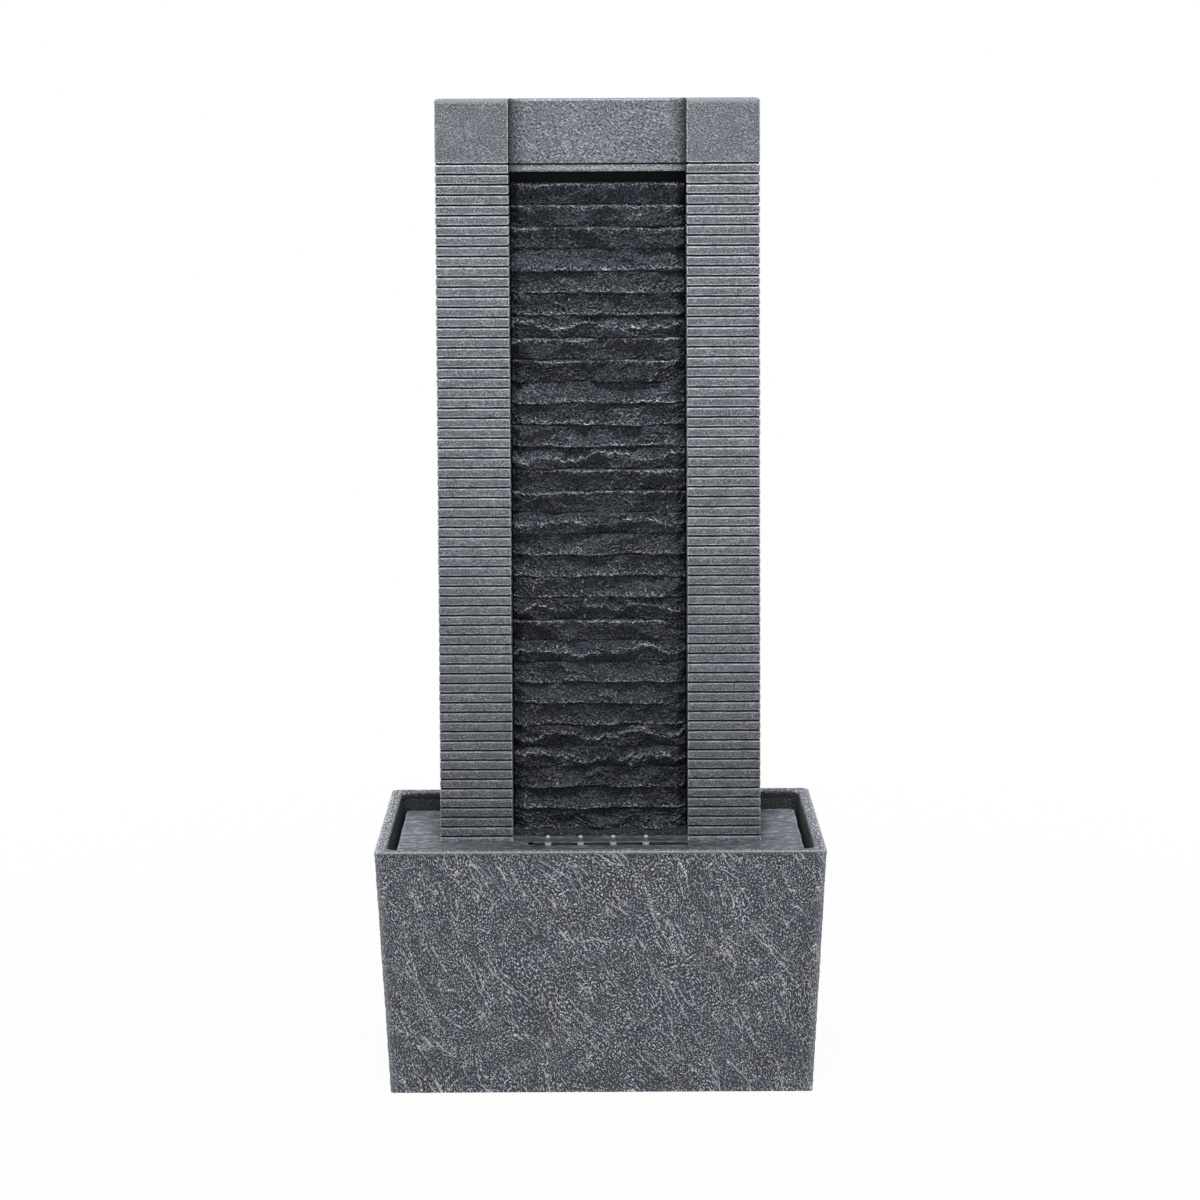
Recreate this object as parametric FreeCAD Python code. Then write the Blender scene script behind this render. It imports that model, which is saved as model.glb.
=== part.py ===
import FreeCAD, Part

import math
import os

# Garden wall fountain in cast slate-look stone, in millimetres.
# The origin is at floor level under the middle of the basin. Front is -Y and up is +Z.

# Basin
basin_width = 525.0         # rim, side to side
basin_depth = 300.0         # rim, front to back
basin_height = 295.0
side_taper = 13.2           # each end draws in by this much at the foot
front_taper = 10.0          # and so do the front and the back
basin_wall = 14.0           # front and both ends
basin_back_wall = 19.0
basin_floor = 14.0
basin_corner = 6.0          # radius of the outer upright corners
basin_inner_corner = 12.0
rim_edge = 2.0              # worn edge all round the rim
foot_ring_width = 26.0
foot_recess = 3.0
corbel_reach = 17.0         # moulded shelves that carry the deck
corbel_length = 60.0
corbel_front_inset = 75.0   # middle of the front shelves, behind the front of the rim
corbel_back_inset = 88.0    # middle of the rear ones, in front of its back
grommet_x = 120.0
grommet_z = 200.0
grommet_hole = 20.0         # diameter through the back wall

# Deck
deck_drop = 20.0            # its top lies this far below the rim
deck_thickness = 12.0
deck_side_gap = 4.5
deck_front_gap = 6.0
deck_back_gap = 8.0
deck_corner = 8.0
deck_rib_depth = 12.0
deck_rib_width = 9.0
deck_rib_front_inset = 58.0 # front rib, behind the front of the rim
slot_left = -84.0           # drain slot in front of the ledge wall
slot_depth = 13.5           # front to back
slot_setback = 5.3          # its back edge lies this far in front of the pillars
slot_slant = 22.0           # run of its slanted left end
hose_hole = 30.0

# Tower
total_height = 1152.0
tower_back_inset = 37.0     # from the back of the rim to the back of the tower
tower_depth = 140.0
tower_foot_width = 385.2
tower_top_width = 374.0
niche_foot_width = 210.0
niche_top_width = 203.6
pillar_wall = 14.0
arris = 3.0                 # worn upper edges
groove_pitch = 11.72
groove_width = 2.2
groove_depth = 2.6
top_block = 74.3            # from the top down to the first groove
foot_block = 5.0            # no groove lies nearer than this to the deck

# Lintel
lintel_height = 83.2
lintel_setback = 12.0       # its face lies this far behind the pillars
lintel_thickness = 15.0
lintel_cove = 12.0
lintel_lip = 7.5            # from its lower edge up to its groove
lid_thickness = 12.0
lintel_gap = 0.15           # joint between lintel and pillars

# Ledge wall
course_count = 30
spill_mouth = 12.8          # height of the slit between the ledge wall and the lintel
plinth_height = 5.0
plinth_front = 28.0         # behind the pillar fronts
stone_front = 33.0          # mean stone face, behind the pillar fronts
stone_relief = 9.0          # how much the stone faces vary
stone_bevel = 4.0
stone_joint = 1.2           # upright joint between two stones
course_joint = 2.6
course_end_gap = 7.5        # dark recess beside each pillar
slab_front = 52.0
slab_thickness = 12.0
slab_gap = 0.15

# Header trough
trough_height = 24.0
weir_drop = 5.0             # the front wall is lower than the other three
trough_wall = 4.0
trough_end_gap = 1.0
trough_back_gap = 4.0

# Back panel
panel_thickness = 6.0
panel_top_drop = 3.0
cleat_depth = 20.0
cleat_height = 14.0
screw_shank = 4.0
screw_head = 8.0
screw_length = 18.0
screw_rows = 3
screw_margin = 60.0         # first and last rows from the panel's ends

# Bolts that hold the pillars on the deck
bolt_size = 8.0
bolt_head = 13.0            # across the flats
bolt_head_height = 5.3
washer_diameter = 18.0
washer_thickness = 1.6
bolt_front_inset = 35.0     # from the front of the pillars
bolt_back_inset = 39.0      # from the back of the tower
bolt_clearance = 0.25       # round the shank

# Hose and its fittings
hose_inset = 84.0           # from the back of the rim to the hose and the pump's chamber
hose_bore = 13.1
hose_wall = 3.0
fit_clearance = 0.05        # radial, hose on nozzle and barb
barb_length = 24.0
hose_foot_gap = 3.0         # end of the hose above the pump's shoulder
fitting_flange = 28.0
fitting_flange_height = 3.0
fitting_stem = 16.0
fitting_bore = 9.0
seal_thickness = 2.0
nut_flats = 24.0
nut_height = 7.0
clamp_width = 9.0
clamp_band = 1.0
clamp_gap = 0.1

# Lamps in the slot
lamp_count = 4
lamp_pitch = 39.0
lamp_first_x = -62.8
lamp_dome = 6.0
lamp_dome_height = 8.6      # above the collar
lamp_collar = 7.8
lamp_collar_height = 3.6
lamp_holder = 8.4
carrier_width = 11.0
carrier_height = 7.0
carrier_trough = 4.0        # width of the groove for its wires
carrier_drop = 10.0         # below the deck's underside
carrier_boss = 10.0         # length of the deck's bosses along the slot
carrier_screw = 3.5
carrier_screw_head = 6.5

# Pump
pump_half_width = 24.0
pump_height = 44.0
pump_lift = 8.0             # height of its feet
pump_corner = 7.0
pump_axis_rise = 21.0       # rotor axis above the pump's underside
chamber_depth = 16.0
chamber_radius = 16.0
motor_length = 36.0
nozzle_length = 30.0
cover_thickness = 4.0
cover_inset = 2.0
inlet_radius = 7.0
pump_seal_radius = 18.6
pump_seal_section = 1.5
well_radius = 8.2
magnet_radius = 7.4
magnet_length = 29.0
shaft_radius = 1.5
sleeve_radius = 3.4
running_gap = 0.04
end_gap = 0.4               # play at each end of the rotor
bush_radius = 3.0
bush_length = 3.0
blade_count = 6
blade_radius = 13.0
blade_width = 8.0
blade_thickness = 1.6
hub_radius = 5.0
foot_radius = 7.0
gland_radius = 6.0
gland_length = 6.0
gland_hole = 3.2

# Strainer cover and its flow dial
strainer_length = 27.0
strainer_wall = 2.0
strainer_gap = 0.1          # slip fit on the pump's front cover
slat_count = 6
slot_cut = 2.6
dial_radius = 8.0
dial_thickness = 3.0
dial_spigot = 3.0
dial_grip = 2.4
shutter_radius = 14.0
shutter_thickness = 1.6
window_inner = 5.5
window_outer = 12.5

# Cable grommet
grommet_flange = 28.0
grommet_flange_thickness = 2.5
grommet_bore = 8.0

# Levels and places that follow from the sizes above
deck_top = basin_height - deck_drop
deck_bottom = deck_top - deck_thickness
tower_back = basin_depth / 2 - tower_back_inset
tower_front = tower_back - tower_depth
panel_front = tower_back - panel_thickness
tower_height = total_height - deck_top
groove_count = 1 + int((tower_height - top_block - foot_block) / groove_pitch)
bolt_rows = (tower_front + bolt_front_inset, tower_back - bolt_back_inset)
lintel_bottom = total_height - lintel_height
wall_top = lintel_bottom - spill_mouth
courses_bottom = deck_top + plinth_height
course_pitch = (wall_top - courses_bottom) / course_count
slab_y = tower_front + slab_front
slot_back = tower_front - slot_setback
slot_front = slot_back - slot_depth
lamp_y = (slot_front + slot_back) / 2
carrier_top = deck_bottom - carrier_drop
pump_bottom = basin_floor + pump_lift
pump_top = pump_bottom + pump_height
pump_axis_z = pump_bottom + pump_axis_rise
hose_y = basin_depth / 2 - hose_inset
chamber_front = hose_y - chamber_depth / 2
chamber_back = hose_y + chamber_depth / 2
pump_back = chamber_back + motor_length
barb_radius = hose_bore / 2 - fit_clearance
hose_radius = hose_bore / 2 + hose_wall
up = FreeCAD.Vector(0, 0, 1)
back = FreeCAD.Vector(0, 1, 0)


def point(x, y, z):
    return FreeCAD.Vector(x, y, z)


def box(x0, x1, y0, y1, z0, z1):
    return Part.makeBox(x1 - x0, y1 - y0, z1 - z0, point(x0, y0, z0))


def rod(radius, start, direction, length):
    return Part.makeCylinder(radius, length, start, direction)


def ring(outer, inner, start, direction, length):
    return rod(outer, start, direction, length).cut(rod(inner, start, direction, length))


def polygon(points):
    return Part.makePolygon(points + [points[0]])


def prism(points, along):
    return Part.Face(polygon(points)).extrude(along)


def stack(rings):
    """Solid through level rings of corners, one above the other, with flat faces between them."""
    faces = [Part.Face(polygon(rings[0])), Part.Face(polygon(rings[-1]))]
    for low, high in zip(rings, rings[1:]):
        for index in range(len(low)):
            following = (index + 1) % len(low)
            corners = [low[index], low[following], high[following], high[index]]
            faces.append(Part.Face(polygon(corners)))
    solid = Part.Solid(Part.Shell(faces))
    if solid.Volume < 0:
        solid.reverse()
    return solid


def fused(first, others):
    return first.multiFuse(others).removeSplitter()


def rounded_outline(x0, x1, y0, y1, z, radius):
    """Level rectangle with round corners, as one wire."""
    edges = []
    corners = [(x1, y0, -90), (x1, y1, 0), (x0, y1, 90), (x0, y0, 180)]
    arcs = []
    for x, y, start in corners:
        centre_x = x - radius if x == x1 else x + radius
        centre_y = y - radius if y == y1 else y + radius
        on_arc = []
        for turn in (0, 45, 90):
            angle = math.radians(start + turn)
            on_arc.append(point(centre_x + radius * math.cos(angle), centre_y + radius * math.sin(angle), z))
        arcs.append(on_arc)
    for index, on_arc in enumerate(arcs):
        following = arcs[(index + 1) % len(arcs)]
        edges.append(Part.Arc(*on_arc).toShape())
        edges.append(Part.LineSegment(on_arc[2], following[0]).toShape())
    return Part.Wire(edges)


def save(shape, node):
    shape.exportStep("parts/" + node + ".step")
    print(node, "volume", round(shape.Volume / 1000, 1), "cm3, solids", len(shape.Solids),
          "faces", len(shape.Faces), shape.isValid())


# Basin: everything about its walls comes from these two tapers

def half_width_at(z):
    return basin_width / 2 - side_taper * (1 - z / basin_height)


def half_depth_at(z):
    return basin_depth / 2 - front_taper * (1 - z / basin_height)


def basin_outline(z, inset, back_inset, radius):
    half = half_width_at(z) - inset
    depth = half_depth_at(z)
    return rounded_outline(-half, half, -depth + inset, depth - back_inset, z, radius)


def inner_outline(z, widen):
    return basin_outline(z, basin_wall - widen, basin_back_wall - widen, basin_inner_corner)


def make_corbel(side, y):
    wall_x = half_width_at(deck_bottom) - basin_wall
    seat = deck_bottom
    root = wall_x + basin_wall / 3
    nose = wall_x - corbel_reach
    drop = corbel_reach / 2
    profile = [point(side * root, y, seat), point(side * nose, y, seat),
               point(side * nose, y, seat - drop), point(side * root, y, seat - drop - root + nose)]
    return prism(profile, point(0, corbel_length, 0))


def make_basin():
    outer = Part.makeLoft([basin_outline(0, 0, 0, basin_corner),
                           basin_outline(basin_height - rim_edge, 0, 0, basin_corner),
                           basin_outline(basin_height, rim_edge, rim_edge, basin_corner)], True, True)
    cavity = Part.makeLoft([inner_outline(basin_floor, 0), inner_outline(basin_height - rim_edge, 0),
                            inner_outline(basin_height + rim_edge, 2 * rim_edge)], True, True)
    ring_inset = foot_ring_width
    recess_rings = [basin_outline(z, ring_inset, ring_inset, basin_inner_corner) for z in (-1, foot_recess)]
    recess = Part.makeLoft(recess_rings, True, True)
    corbels = []
    for side in (-1, 1):
        for y in (corbel_front_inset - basin_depth / 2, basin_depth / 2 - corbel_back_inset):
            corbels.append(make_corbel(side, y - corbel_length / 2))
    basin = fused(outer.cut(cavity), corbels)
    hole = rod(grommet_hole / 2, point(grommet_x, 0, grommet_z), back, basin_depth)
    return basin.cut(recess).cut(hole)


def make_grommet():
    """Rubber bush through the back wall, with a flange on each face."""
    outer_y = half_depth_at(grommet_z)
    inner_y = outer_y - basin_back_wall
    slope = front_taper / basin_height * grommet_flange / 2
    start = inner_y - grommet_flange_thickness - slope
    length = basin_back_wall + 2 * (grommet_flange_thickness + slope)
    axis_start = point(grommet_x, start, grommet_z)
    sleeve = rod(grommet_hole / 2, axis_start, back, length)
    inner_flange = rod(grommet_flange / 2, axis_start, back, grommet_flange_thickness)
    outer_start = point(grommet_x, outer_y + slope, grommet_z)
    outer_flange = rod(grommet_flange / 2, outer_start, back, grommet_flange_thickness)
    bore = rod(grommet_bore / 2, axis_start, back, length)
    return fused(sleeve, [inner_flange, outer_flange]).cut(bore)


# Deck with its drain slot, ribs and the bosses that carry the lamps

def niche_half_at(z):
    share = (z - deck_top) / tower_height
    return (niche_foot_width + (niche_top_width - niche_foot_width) * share) / 2


def tower_half_at(z):
    share = (z - deck_top) / tower_height
    return (tower_foot_width + (tower_top_width - tower_foot_width) * share) / 2


def upright_plate(half_at, gap, y, thickness, z0, z1):
    """Plate across the tower whose ends follow the tower's or the niche's taper."""
    foot = half_at(z0) - gap
    head = half_at(z1) - gap
    return prism([point(-foot, y, z0), point(foot, y, z0), point(head, y, z1), point(-head, y, z1)],
                 point(0, thickness, 0))


def bolt_places():
    middle = (niche_foot_width + tower_foot_width) / 4
    return [(side * middle, y) for side in (-1, 1) for y in bolt_rows]


def carrier_screw_places():
    right = niche_half_at(deck_top)
    return [(slot_left - carrier_boss / 2, lamp_y), (right + carrier_boss / 2, lamp_y)]


def make_deck():
    half = half_width_at(deck_bottom) - basin_wall - deck_side_gap
    front = -half_depth_at(deck_bottom) + basin_wall + deck_front_gap
    rear = half_depth_at(deck_bottom) - basin_back_wall - deck_back_gap
    outline = rounded_outline(-half, half, front, rear, deck_bottom, deck_corner)
    plate = Part.Face(outline).extrude(point(0, 0, deck_thickness))
    rib_half = half - corbel_reach - deck_rib_width
    solids = []
    for y in (deck_rib_front_inset - basin_depth / 2, (hose_y + rear) / 2):
        solids.append(box(-rib_half, rib_half, y - deck_rib_width / 2, y + deck_rib_width / 2,
                          deck_bottom - deck_rib_depth, deck_bottom + 1))
    for x, y in carrier_screw_places():
        solids.append(box(x - carrier_boss / 2, x + carrier_boss / 2, y - carrier_width / 2,
                          y + carrier_width / 2, carrier_top, deck_bottom + 1))
    deck = fused(plate, solids)
    slot_right = niche_half_at(deck_top)
    base = deck_bottom - 1
    slot = prism([point(slot_left, slot_front, base), point(slot_right, slot_front, base),
                  point(slot_right, slot_back, base), point(slot_left + slot_slant / 2, slot_back, base)],
                 point(0, 0, deck_thickness + 2))
    deck = deck.cut(slot)
    deck = deck.cut(rod(hose_hole / 2, point(0, hose_y, base - deck_rib_depth), up, deck_thickness * 4))
    for x, y in bolt_places():
        deck = deck.cut(rod(bolt_size / 2 + bolt_clearance, point(x, y, base), up, deck_thickness + 2))
    for x, y in carrier_screw_places():
        deck = deck.cut(rod(carrier_screw / 2, point(x, y, carrier_top), up, carrier_drop))
    return deck


# Pillars: a tapered hollow post with grooves round its front and both sides

def pillar_levels():
    """Heights up a pillar with how far its faces are cut back there."""
    levels = [(deck_top, 0)]
    first = total_height - top_block - groove_pitch * (groove_count - 1)
    for index in range(groove_count):
        z = first + groove_pitch * index
        levels += [(z - groove_width / 2, 0), (z, groove_depth), (z + groove_width / 2, 0)]
    return levels + [(total_height - arris, 0), (total_height, arris)]


def make_pillar(side):
    levels = pillar_levels()
    across = [point(side * (niche_half_at(z) + cut), tower_front - 1, z) for z, cut in levels]
    across += [point(side * (tower_half_at(z) - cut), tower_front - 1, z) for z, cut in reversed(levels)]
    along = [point(0, tower_front + cut, z) for z, cut in levels]
    along += [point(0, panel_front, total_height), point(0, panel_front, deck_top)]
    grooved_sides = prism(across, point(0, tower_depth, 0))
    grooved_front = prism(along, point(side * tower_foot_width, 0, 0))
    pillar = grooved_sides.common(grooved_front)
    low = niche_half_at(deck_top) + pillar_wall
    high = tower_half_at(total_height) - pillar_wall
    x0, x1 = sorted((side * low, side * high))
    hollow = box(x0, x1, tower_front + pillar_wall, panel_front + 1,
                 deck_top + pillar_wall, total_height - pillar_wall)
    pillar = pillar.cut(hollow)
    for x, y in bolt_places():
        if x * side > 0:
            pillar = pillar.cut(rod(bolt_size / 2, point(x, y, deck_top - 1), up, pillar_wall + 2))
    for x, z in screw_places():
        if x * side > 0:
            pillar = pillar.cut(pilot_hole(x, z))
    return pillar


# Lintel: front with a cove at each end and a groove near its lower edge, and the tower's lid

def lintel_outline(z, inset):
    half = niche_half_at(total_height) - lintel_gap
    face = tower_front + lintel_setback + inset
    shoulder = face - lintel_cove
    rear = tower_front + lintel_setback + lintel_thickness
    diagonal = lintel_cove * math.sqrt(0.5)
    edges = [Part.LineSegment(point(-half, rear, z), point(-half, shoulder, z)).toShape()]
    edges.append(Part.Arc(point(-half, shoulder, z),
                          point(-half + lintel_cove - diagonal, shoulder + diagonal, z),
                          point(-half + lintel_cove, face, z)).toShape())
    edges.append(Part.LineSegment(point(-half + lintel_cove, face, z),
                                  point(half - lintel_cove, face, z)).toShape())
    edges.append(Part.Arc(point(half - lintel_cove, face, z),
                          point(half - lintel_cove + diagonal, shoulder + diagonal, z),
                          point(half, shoulder, z)).toShape())
    edges.append(Part.LineSegment(point(half, shoulder, z), point(half, rear, z)).toShape())
    edges.append(Part.LineSegment(point(half, rear, z), point(-half, rear, z)).toShape())
    return Part.Wire(edges)


def make_lintel():
    groove_z = lintel_bottom + lintel_lip
    levels = [(lintel_bottom, 0), (groove_z - groove_width / 2, 0), (groove_z, groove_depth),
              (groove_z + groove_width / 2, 0), (total_height - arris, 0), (total_height, arris)]
    front = Part.makeLoft([lintel_outline(z, inset) for z, inset in levels], True, True)
    half = niche_half_at(total_height) - lintel_gap
    lid_front = tower_front + lintel_setback + lintel_thickness / 2
    lid = box(-half, half, lid_front, panel_front, total_height - lid_thickness, total_height)
    return fused(front, [lid])


# Ledge wall: each course is a row of split stones with bevelled, uneven faces

def chip(course, place):
    """Steady value from 0 to 1 that looks random, for one corner of one course."""
    wave = math.sin(course * 12.9898 + place * 78.233) * 43758.5453
    return wave - math.floor(wave)


def stone_corners(course):
    """Plan of a course from its left end to its right end, in two to four stones."""
    half = niche_half_at(wall_top) - course_end_gap
    face = tower_front + stone_front
    stones = 2 + int(3 * chip(course, 0))
    joints = [-half]
    for index in range(1, stones):
        share = (index + 0.5 * (chip(course, index) - 0.5)) / stones
        joints.append(-half + 2 * half * share)
    joints.append(half)
    corners = []
    for index in range(stones):
        left = joints[index] + stone_joint / 2
        right = joints[index + 1] - stone_joint / 2
        middle = left + (right - left) * (0.3 + 0.4 * chip(course, 10 + index))
        out = face - stone_relief * chip(course, 20 + index)
        corners.append((left, out + stone_relief * (0.3 + 0.4 * chip(course, 30 + index))))
        corners.append((middle, out))
        corners.append((right, out + stone_relief * (0.3 + 0.4 * chip(course, 40 + index))))
    return corners


def make_course(course):
    low = courses_bottom + course * course_pitch + course_joint / 2
    high = low + course_pitch - course_joint
    belly = low + course_pitch * (0.25 + 0.35 * chip(course, 50))
    plan = stone_corners(course)
    root = slab_y + slab_thickness / 3
    rings = []
    for z, inset in ((low, stone_bevel), (belly, 0), (high, stone_bevel)):
        corners = [point(x, y + inset, z) for x, y in plan]
        corners.append(point(plan[-1][0], root, z))
        corners.append(point(plan[0][0], root, z))
        rings.append(corners)
    return stack(rings)


def make_ledge_wall():
    slab = upright_plate(niche_half_at, slab_gap, slab_y, slab_thickness, deck_top, wall_top)
    half = niche_half_at(wall_top) - slab_gap
    plinth_y = tower_front + plinth_front
    plinth = prism([point(0, plinth_y, deck_top), point(0, slab_y + 1, deck_top),
                    point(0, slab_y + 1, courses_bottom + plinth_height),
                    point(0, plinth_y + plinth_height, courses_bottom)], point(half, 0, 0))
    plinth_left = plinth.translated(point(-half, 0, 0))
    return fused(slab, [plinth, plinth_left] + [make_course(course) for course in range(course_count)])


# Header trough, its inlet fitting and the hose

def make_header_trough():
    half = niche_half_at(wall_top) - trough_end_gap
    front = slab_y
    rear = panel_front - trough_back_gap
    top = wall_top + trough_height
    body = box(-half, half, front, rear, wall_top, top)
    hollow = box(-half + trough_wall, half - trough_wall, front + trough_wall, rear - trough_wall,
                 wall_top + trough_wall, top + 1)
    weir = box(-half + trough_wall, half - trough_wall, front - 1, front + trough_wall + 1,
               top - weir_drop, top + 1)
    hole = rod(fitting_stem / 2, point(0, hose_y, wall_top - 1), up, trough_wall + 2)
    return body.cut(hollow).cut(weir).cut(hole)


def make_header_fitting():
    floor = wall_top + trough_wall
    flange_z = floor + seal_thickness
    flange = rod(fitting_flange / 2, point(0, hose_y, flange_z), up, fitting_flange_height)
    stem_foot = wall_top - nut_height - 1
    stem = rod(fitting_stem / 2, point(0, hose_y, stem_foot), up, flange_z - stem_foot)
    barb = rod(barb_radius, point(0, hose_y, stem_foot - barb_length), up, barb_length)
    bore = rod(fitting_bore / 2, point(0, hose_y, stem_foot - barb_length - 1), up, trough_height * 4)
    return fused(flange, [stem, barb]).cut(bore)


def make_fitting_seal():
    seat = point(0, hose_y, wall_top + trough_wall)
    return ring(fitting_flange / 2, fitting_stem / 2, seat, up, seal_thickness)


def hexagon(x, y, z, flats):
    radius = flats / math.sqrt(3)
    corners = []
    for index in range(6):
        angle = math.radians(60 * index)
        corners.append(point(x + radius * math.cos(angle), y + radius * math.sin(angle), z))
    return corners


def make_fitting_nut():
    nut = prism(hexagon(0, hose_y, wall_top - nut_height, nut_flats), point(0, 0, nut_height))
    return nut.cut(rod(fitting_stem / 2, point(0, hose_y, wall_top - nut_height - 1), up, nut_height + 2))


def make_riser_hose():
    foot = pump_top + hose_foot_gap
    head = wall_top - nut_height - 1
    return ring(hose_radius, hose_bore / 2, point(0, hose_y, foot), up, head - foot)


def make_hose_clamp():
    """Band with the housing of its worm screw."""
    z = wall_top - nut_height - barb_length / 2 - clamp_width / 2
    inner = hose_radius + clamp_gap
    band = ring(inner + clamp_band, inner, point(0, hose_y, z), up, clamp_width)
    housing = box(-7, 7, hose_y + inner + clamp_band / 2, hose_y + inner + 6, z, z + clamp_width)
    screw = rod(3, point(-12, hose_y + inner + 3, z + clamp_width / 2), point(1, 0, 0), 6)
    return fused(band, [housing, screw])


# Back panel and its screws

def screw_places():
    low = deck_top + screw_margin
    high = total_height - screw_margin
    places = []
    for side in (-1, 1):
        for index in range(screw_rows):
            z = low + (high - low) * index / (screw_rows - 1)
            places.append((side * (tower_half_at(z) - pillar_wall / 2), z))
    return places


def turned(profile, x, z):
    """Solid turned about a screw's axis, from (radius, depth) pairs below the panel's back face."""
    corners = [point(x + radius, tower_back - depth, z) for radius, depth in profile]
    return Part.Face(polygon(corners)).revolve(point(x, tower_back, z), back, 360)


def make_screw(x, z):
    head_depth = (screw_head - screw_shank) / 2
    return turned([(0, 0), (screw_head / 2, 0), (screw_shank / 2, head_depth),
                   (screw_shank / 2, screw_length), (0, screw_length)], x, z)


def screw_hole(x, z):
    """Countersunk hole through the panel, open past both of its faces."""
    head_depth = (screw_head - screw_shank) / 2
    past = 1
    through = panel_thickness + past
    return turned([(0, -past), (screw_head / 2 + past, -past), (screw_shank / 2, head_depth),
                   (screw_shank / 2, through), (0, through)], x, z)


def pilot_hole(x, z):
    return rod(screw_shank / 2, point(x, tower_back, z), -back, screw_length)


def make_back_panel():
    panel_top = total_height - panel_top_drop
    panel = upright_plate(tower_half_at, 0, panel_front, panel_thickness, deck_top, panel_top)
    cleat_half = niche_half_at(wall_top) - trough_end_gap
    cleat = box(-cleat_half, cleat_half, panel_front - cleat_depth, panel_front + 1,
                wall_top - cleat_height, wall_top)
    clear = hose_radius + clamp_band + 8
    gap = box(-clear, clear, panel_front - cleat_depth - 1, panel_front,
              wall_top - cleat_height - 1, wall_top + 1)
    panel = fused(panel, [cleat.cut(gap)])
    for x, z in screw_places():
        panel = panel.cut(screw_hole(x, z))
    return panel


def make_panel_screws():
    return Part.makeCompound([make_screw(x, z) for x, z in screw_places()])


def make_tower_bolts():
    bolts = []
    seat = deck_bottom - washer_thickness
    for x, y in bolt_places():
        head = prism(hexagon(x, y, seat - bolt_head_height, bolt_head), point(0, 0, bolt_head_height))
        length = washer_thickness + deck_thickness + pillar_wall
        bolts.append(fused(head, [rod(bolt_size / 2, point(x, y, seat), up, length)]))
    return Part.makeCompound(bolts)


def make_tower_washers():
    z = deck_bottom - washer_thickness
    return Part.makeCompound([ring(washer_diameter / 2, bolt_size / 2 + bolt_clearance, point(x, y, z), up,
                                   washer_thickness) for x, y in bolt_places()])


# Lamps: a carrier bar under the slot, with a holder, a collar and a clear dome for each lamp

def lamp_places():
    return [lamp_first_x + lamp_pitch * index for index in range(lamp_count)]


def make_lamp_carrier():
    (left, _), (right, _) = carrier_screw_places()
    reach = carrier_boss / 2
    bar = box(left - reach, right + reach, lamp_y - carrier_width / 2, lamp_y + carrier_width / 2,
              carrier_top - carrier_height, carrier_top)
    foot = carrier_top - carrier_height
    for x, y in carrier_screw_places():
        bar = bar.cut(rod(carrier_screw / 2, point(x, y, foot - 1), up, carrier_height + 2))
    trough = box(lamp_places()[0], lamp_places()[-1], lamp_y - carrier_trough / 2, lamp_y + carrier_trough / 2,
                 foot - 1, foot + carrier_height / 2)
    return bar.cut(trough)


def make_lamp_holders():
    height = deck_top - lamp_collar_height / 2 - carrier_top
    return Part.makeCompound([rod(lamp_holder / 2, point(x, lamp_y, carrier_top), up, height)
                              for x in lamp_places()])


def make_lamp_collars():
    z = deck_top - lamp_collar_height / 2
    collars = []
    for x in lamp_places():
        collars.append(ring(lamp_collar / 2, lamp_dome / 2, point(x, lamp_y, z), up, lamp_collar_height))
    return Part.makeCompound(collars)


def make_lamp_lenses():
    """Bullet-shaped clear domes, revolved."""
    radius = lamp_dome / 2
    base = deck_top - lamp_collar_height / 2
    shoulder = base + lamp_collar_height + lamp_dome_height - radius
    lenses = []
    for x in lamp_places():
        half_arc = Part.Arc(point(x + radius, lamp_y, shoulder),
                            point(x + radius * math.sqrt(0.5), lamp_y, shoulder + radius * math.sqrt(0.5)),
                            point(x, lamp_y, shoulder + radius)).toShape()
        centre = point(x, lamp_y, base)
        edge = point(x + radius, lamp_y, base)
        outline = Part.Wire([Part.LineSegment(centre, edge).toShape(),
                             Part.LineSegment(edge, point(x + radius, lamp_y, shoulder)).toShape(),
                             half_arc,
                             Part.LineSegment(point(x, lamp_y, shoulder + radius), centre).toShape()])
        lenses.append(Part.Face(outline).revolve(centre, up, 360))
    return Part.makeCompound(lenses)


def make_carrier_screws():
    screws = []
    foot = carrier_top - carrier_height
    for x, y in carrier_screw_places():
        head = rod(carrier_screw_head / 2, point(x, y, foot - 2), up, 2)
        shank = rod(carrier_screw / 2, point(x, y, foot), up, carrier_height + carrier_drop)
        screws.append(fused(head, [shank]))
    return Part.makeCompound(screws)


# Pump

def pump_block(x_inset, z_inset, y0, y1):
    """Block with rounded edges along the rotor axis."""
    half = pump_half_width - x_inset
    low = pump_bottom + z_inset
    high = pump_top - z_inset
    level = rounded_outline(-half, half, low, high, 0, pump_corner - z_inset)
    upright = FreeCAD.Placement(point(0, y0, 0), FreeCAD.Rotation(point(1, 0, 0), 90))
    face = Part.Face(level)
    face.Placement = upright
    return face.extrude(point(0, y1 - y0, 0))


def foot_places():
    inset = pump_corner + 3
    return [(side * (pump_half_width - inset), y) for side in (-1, 1)
            for y in (chamber_front + inset, pump_back - inset)]


def make_pump_housing():
    axis = point(0, chamber_front, pump_axis_z)
    body = pump_block(0, 0, chamber_front, pump_back)
    nozzle = rod(barb_radius, point(0, hose_y, pump_top - 4), up, nozzle_length + 4)
    body = fused(body, [nozzle])
    chamber = rod(chamber_radius, axis, back, chamber_depth)
    well_length = magnet_length + 2 * end_gap + bush_length
    well = rod(well_radius, point(0, chamber_back, pump_axis_z), back, well_length)
    outlet = rod(fitting_bore / 2, point(0, hose_y, pump_axis_z), up, pump_height + nozzle_length)
    groove = ring(pump_seal_radius + pump_seal_section, pump_seal_radius, axis, back, pump_seal_section)
    body = body.cut(chamber).cut(well).cut(outlet).cut(groove)
    for x, y in foot_places():
        body = body.cut(rod(foot_radius / 2, point(x, y, pump_bottom), up, 3))
    return body


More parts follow.
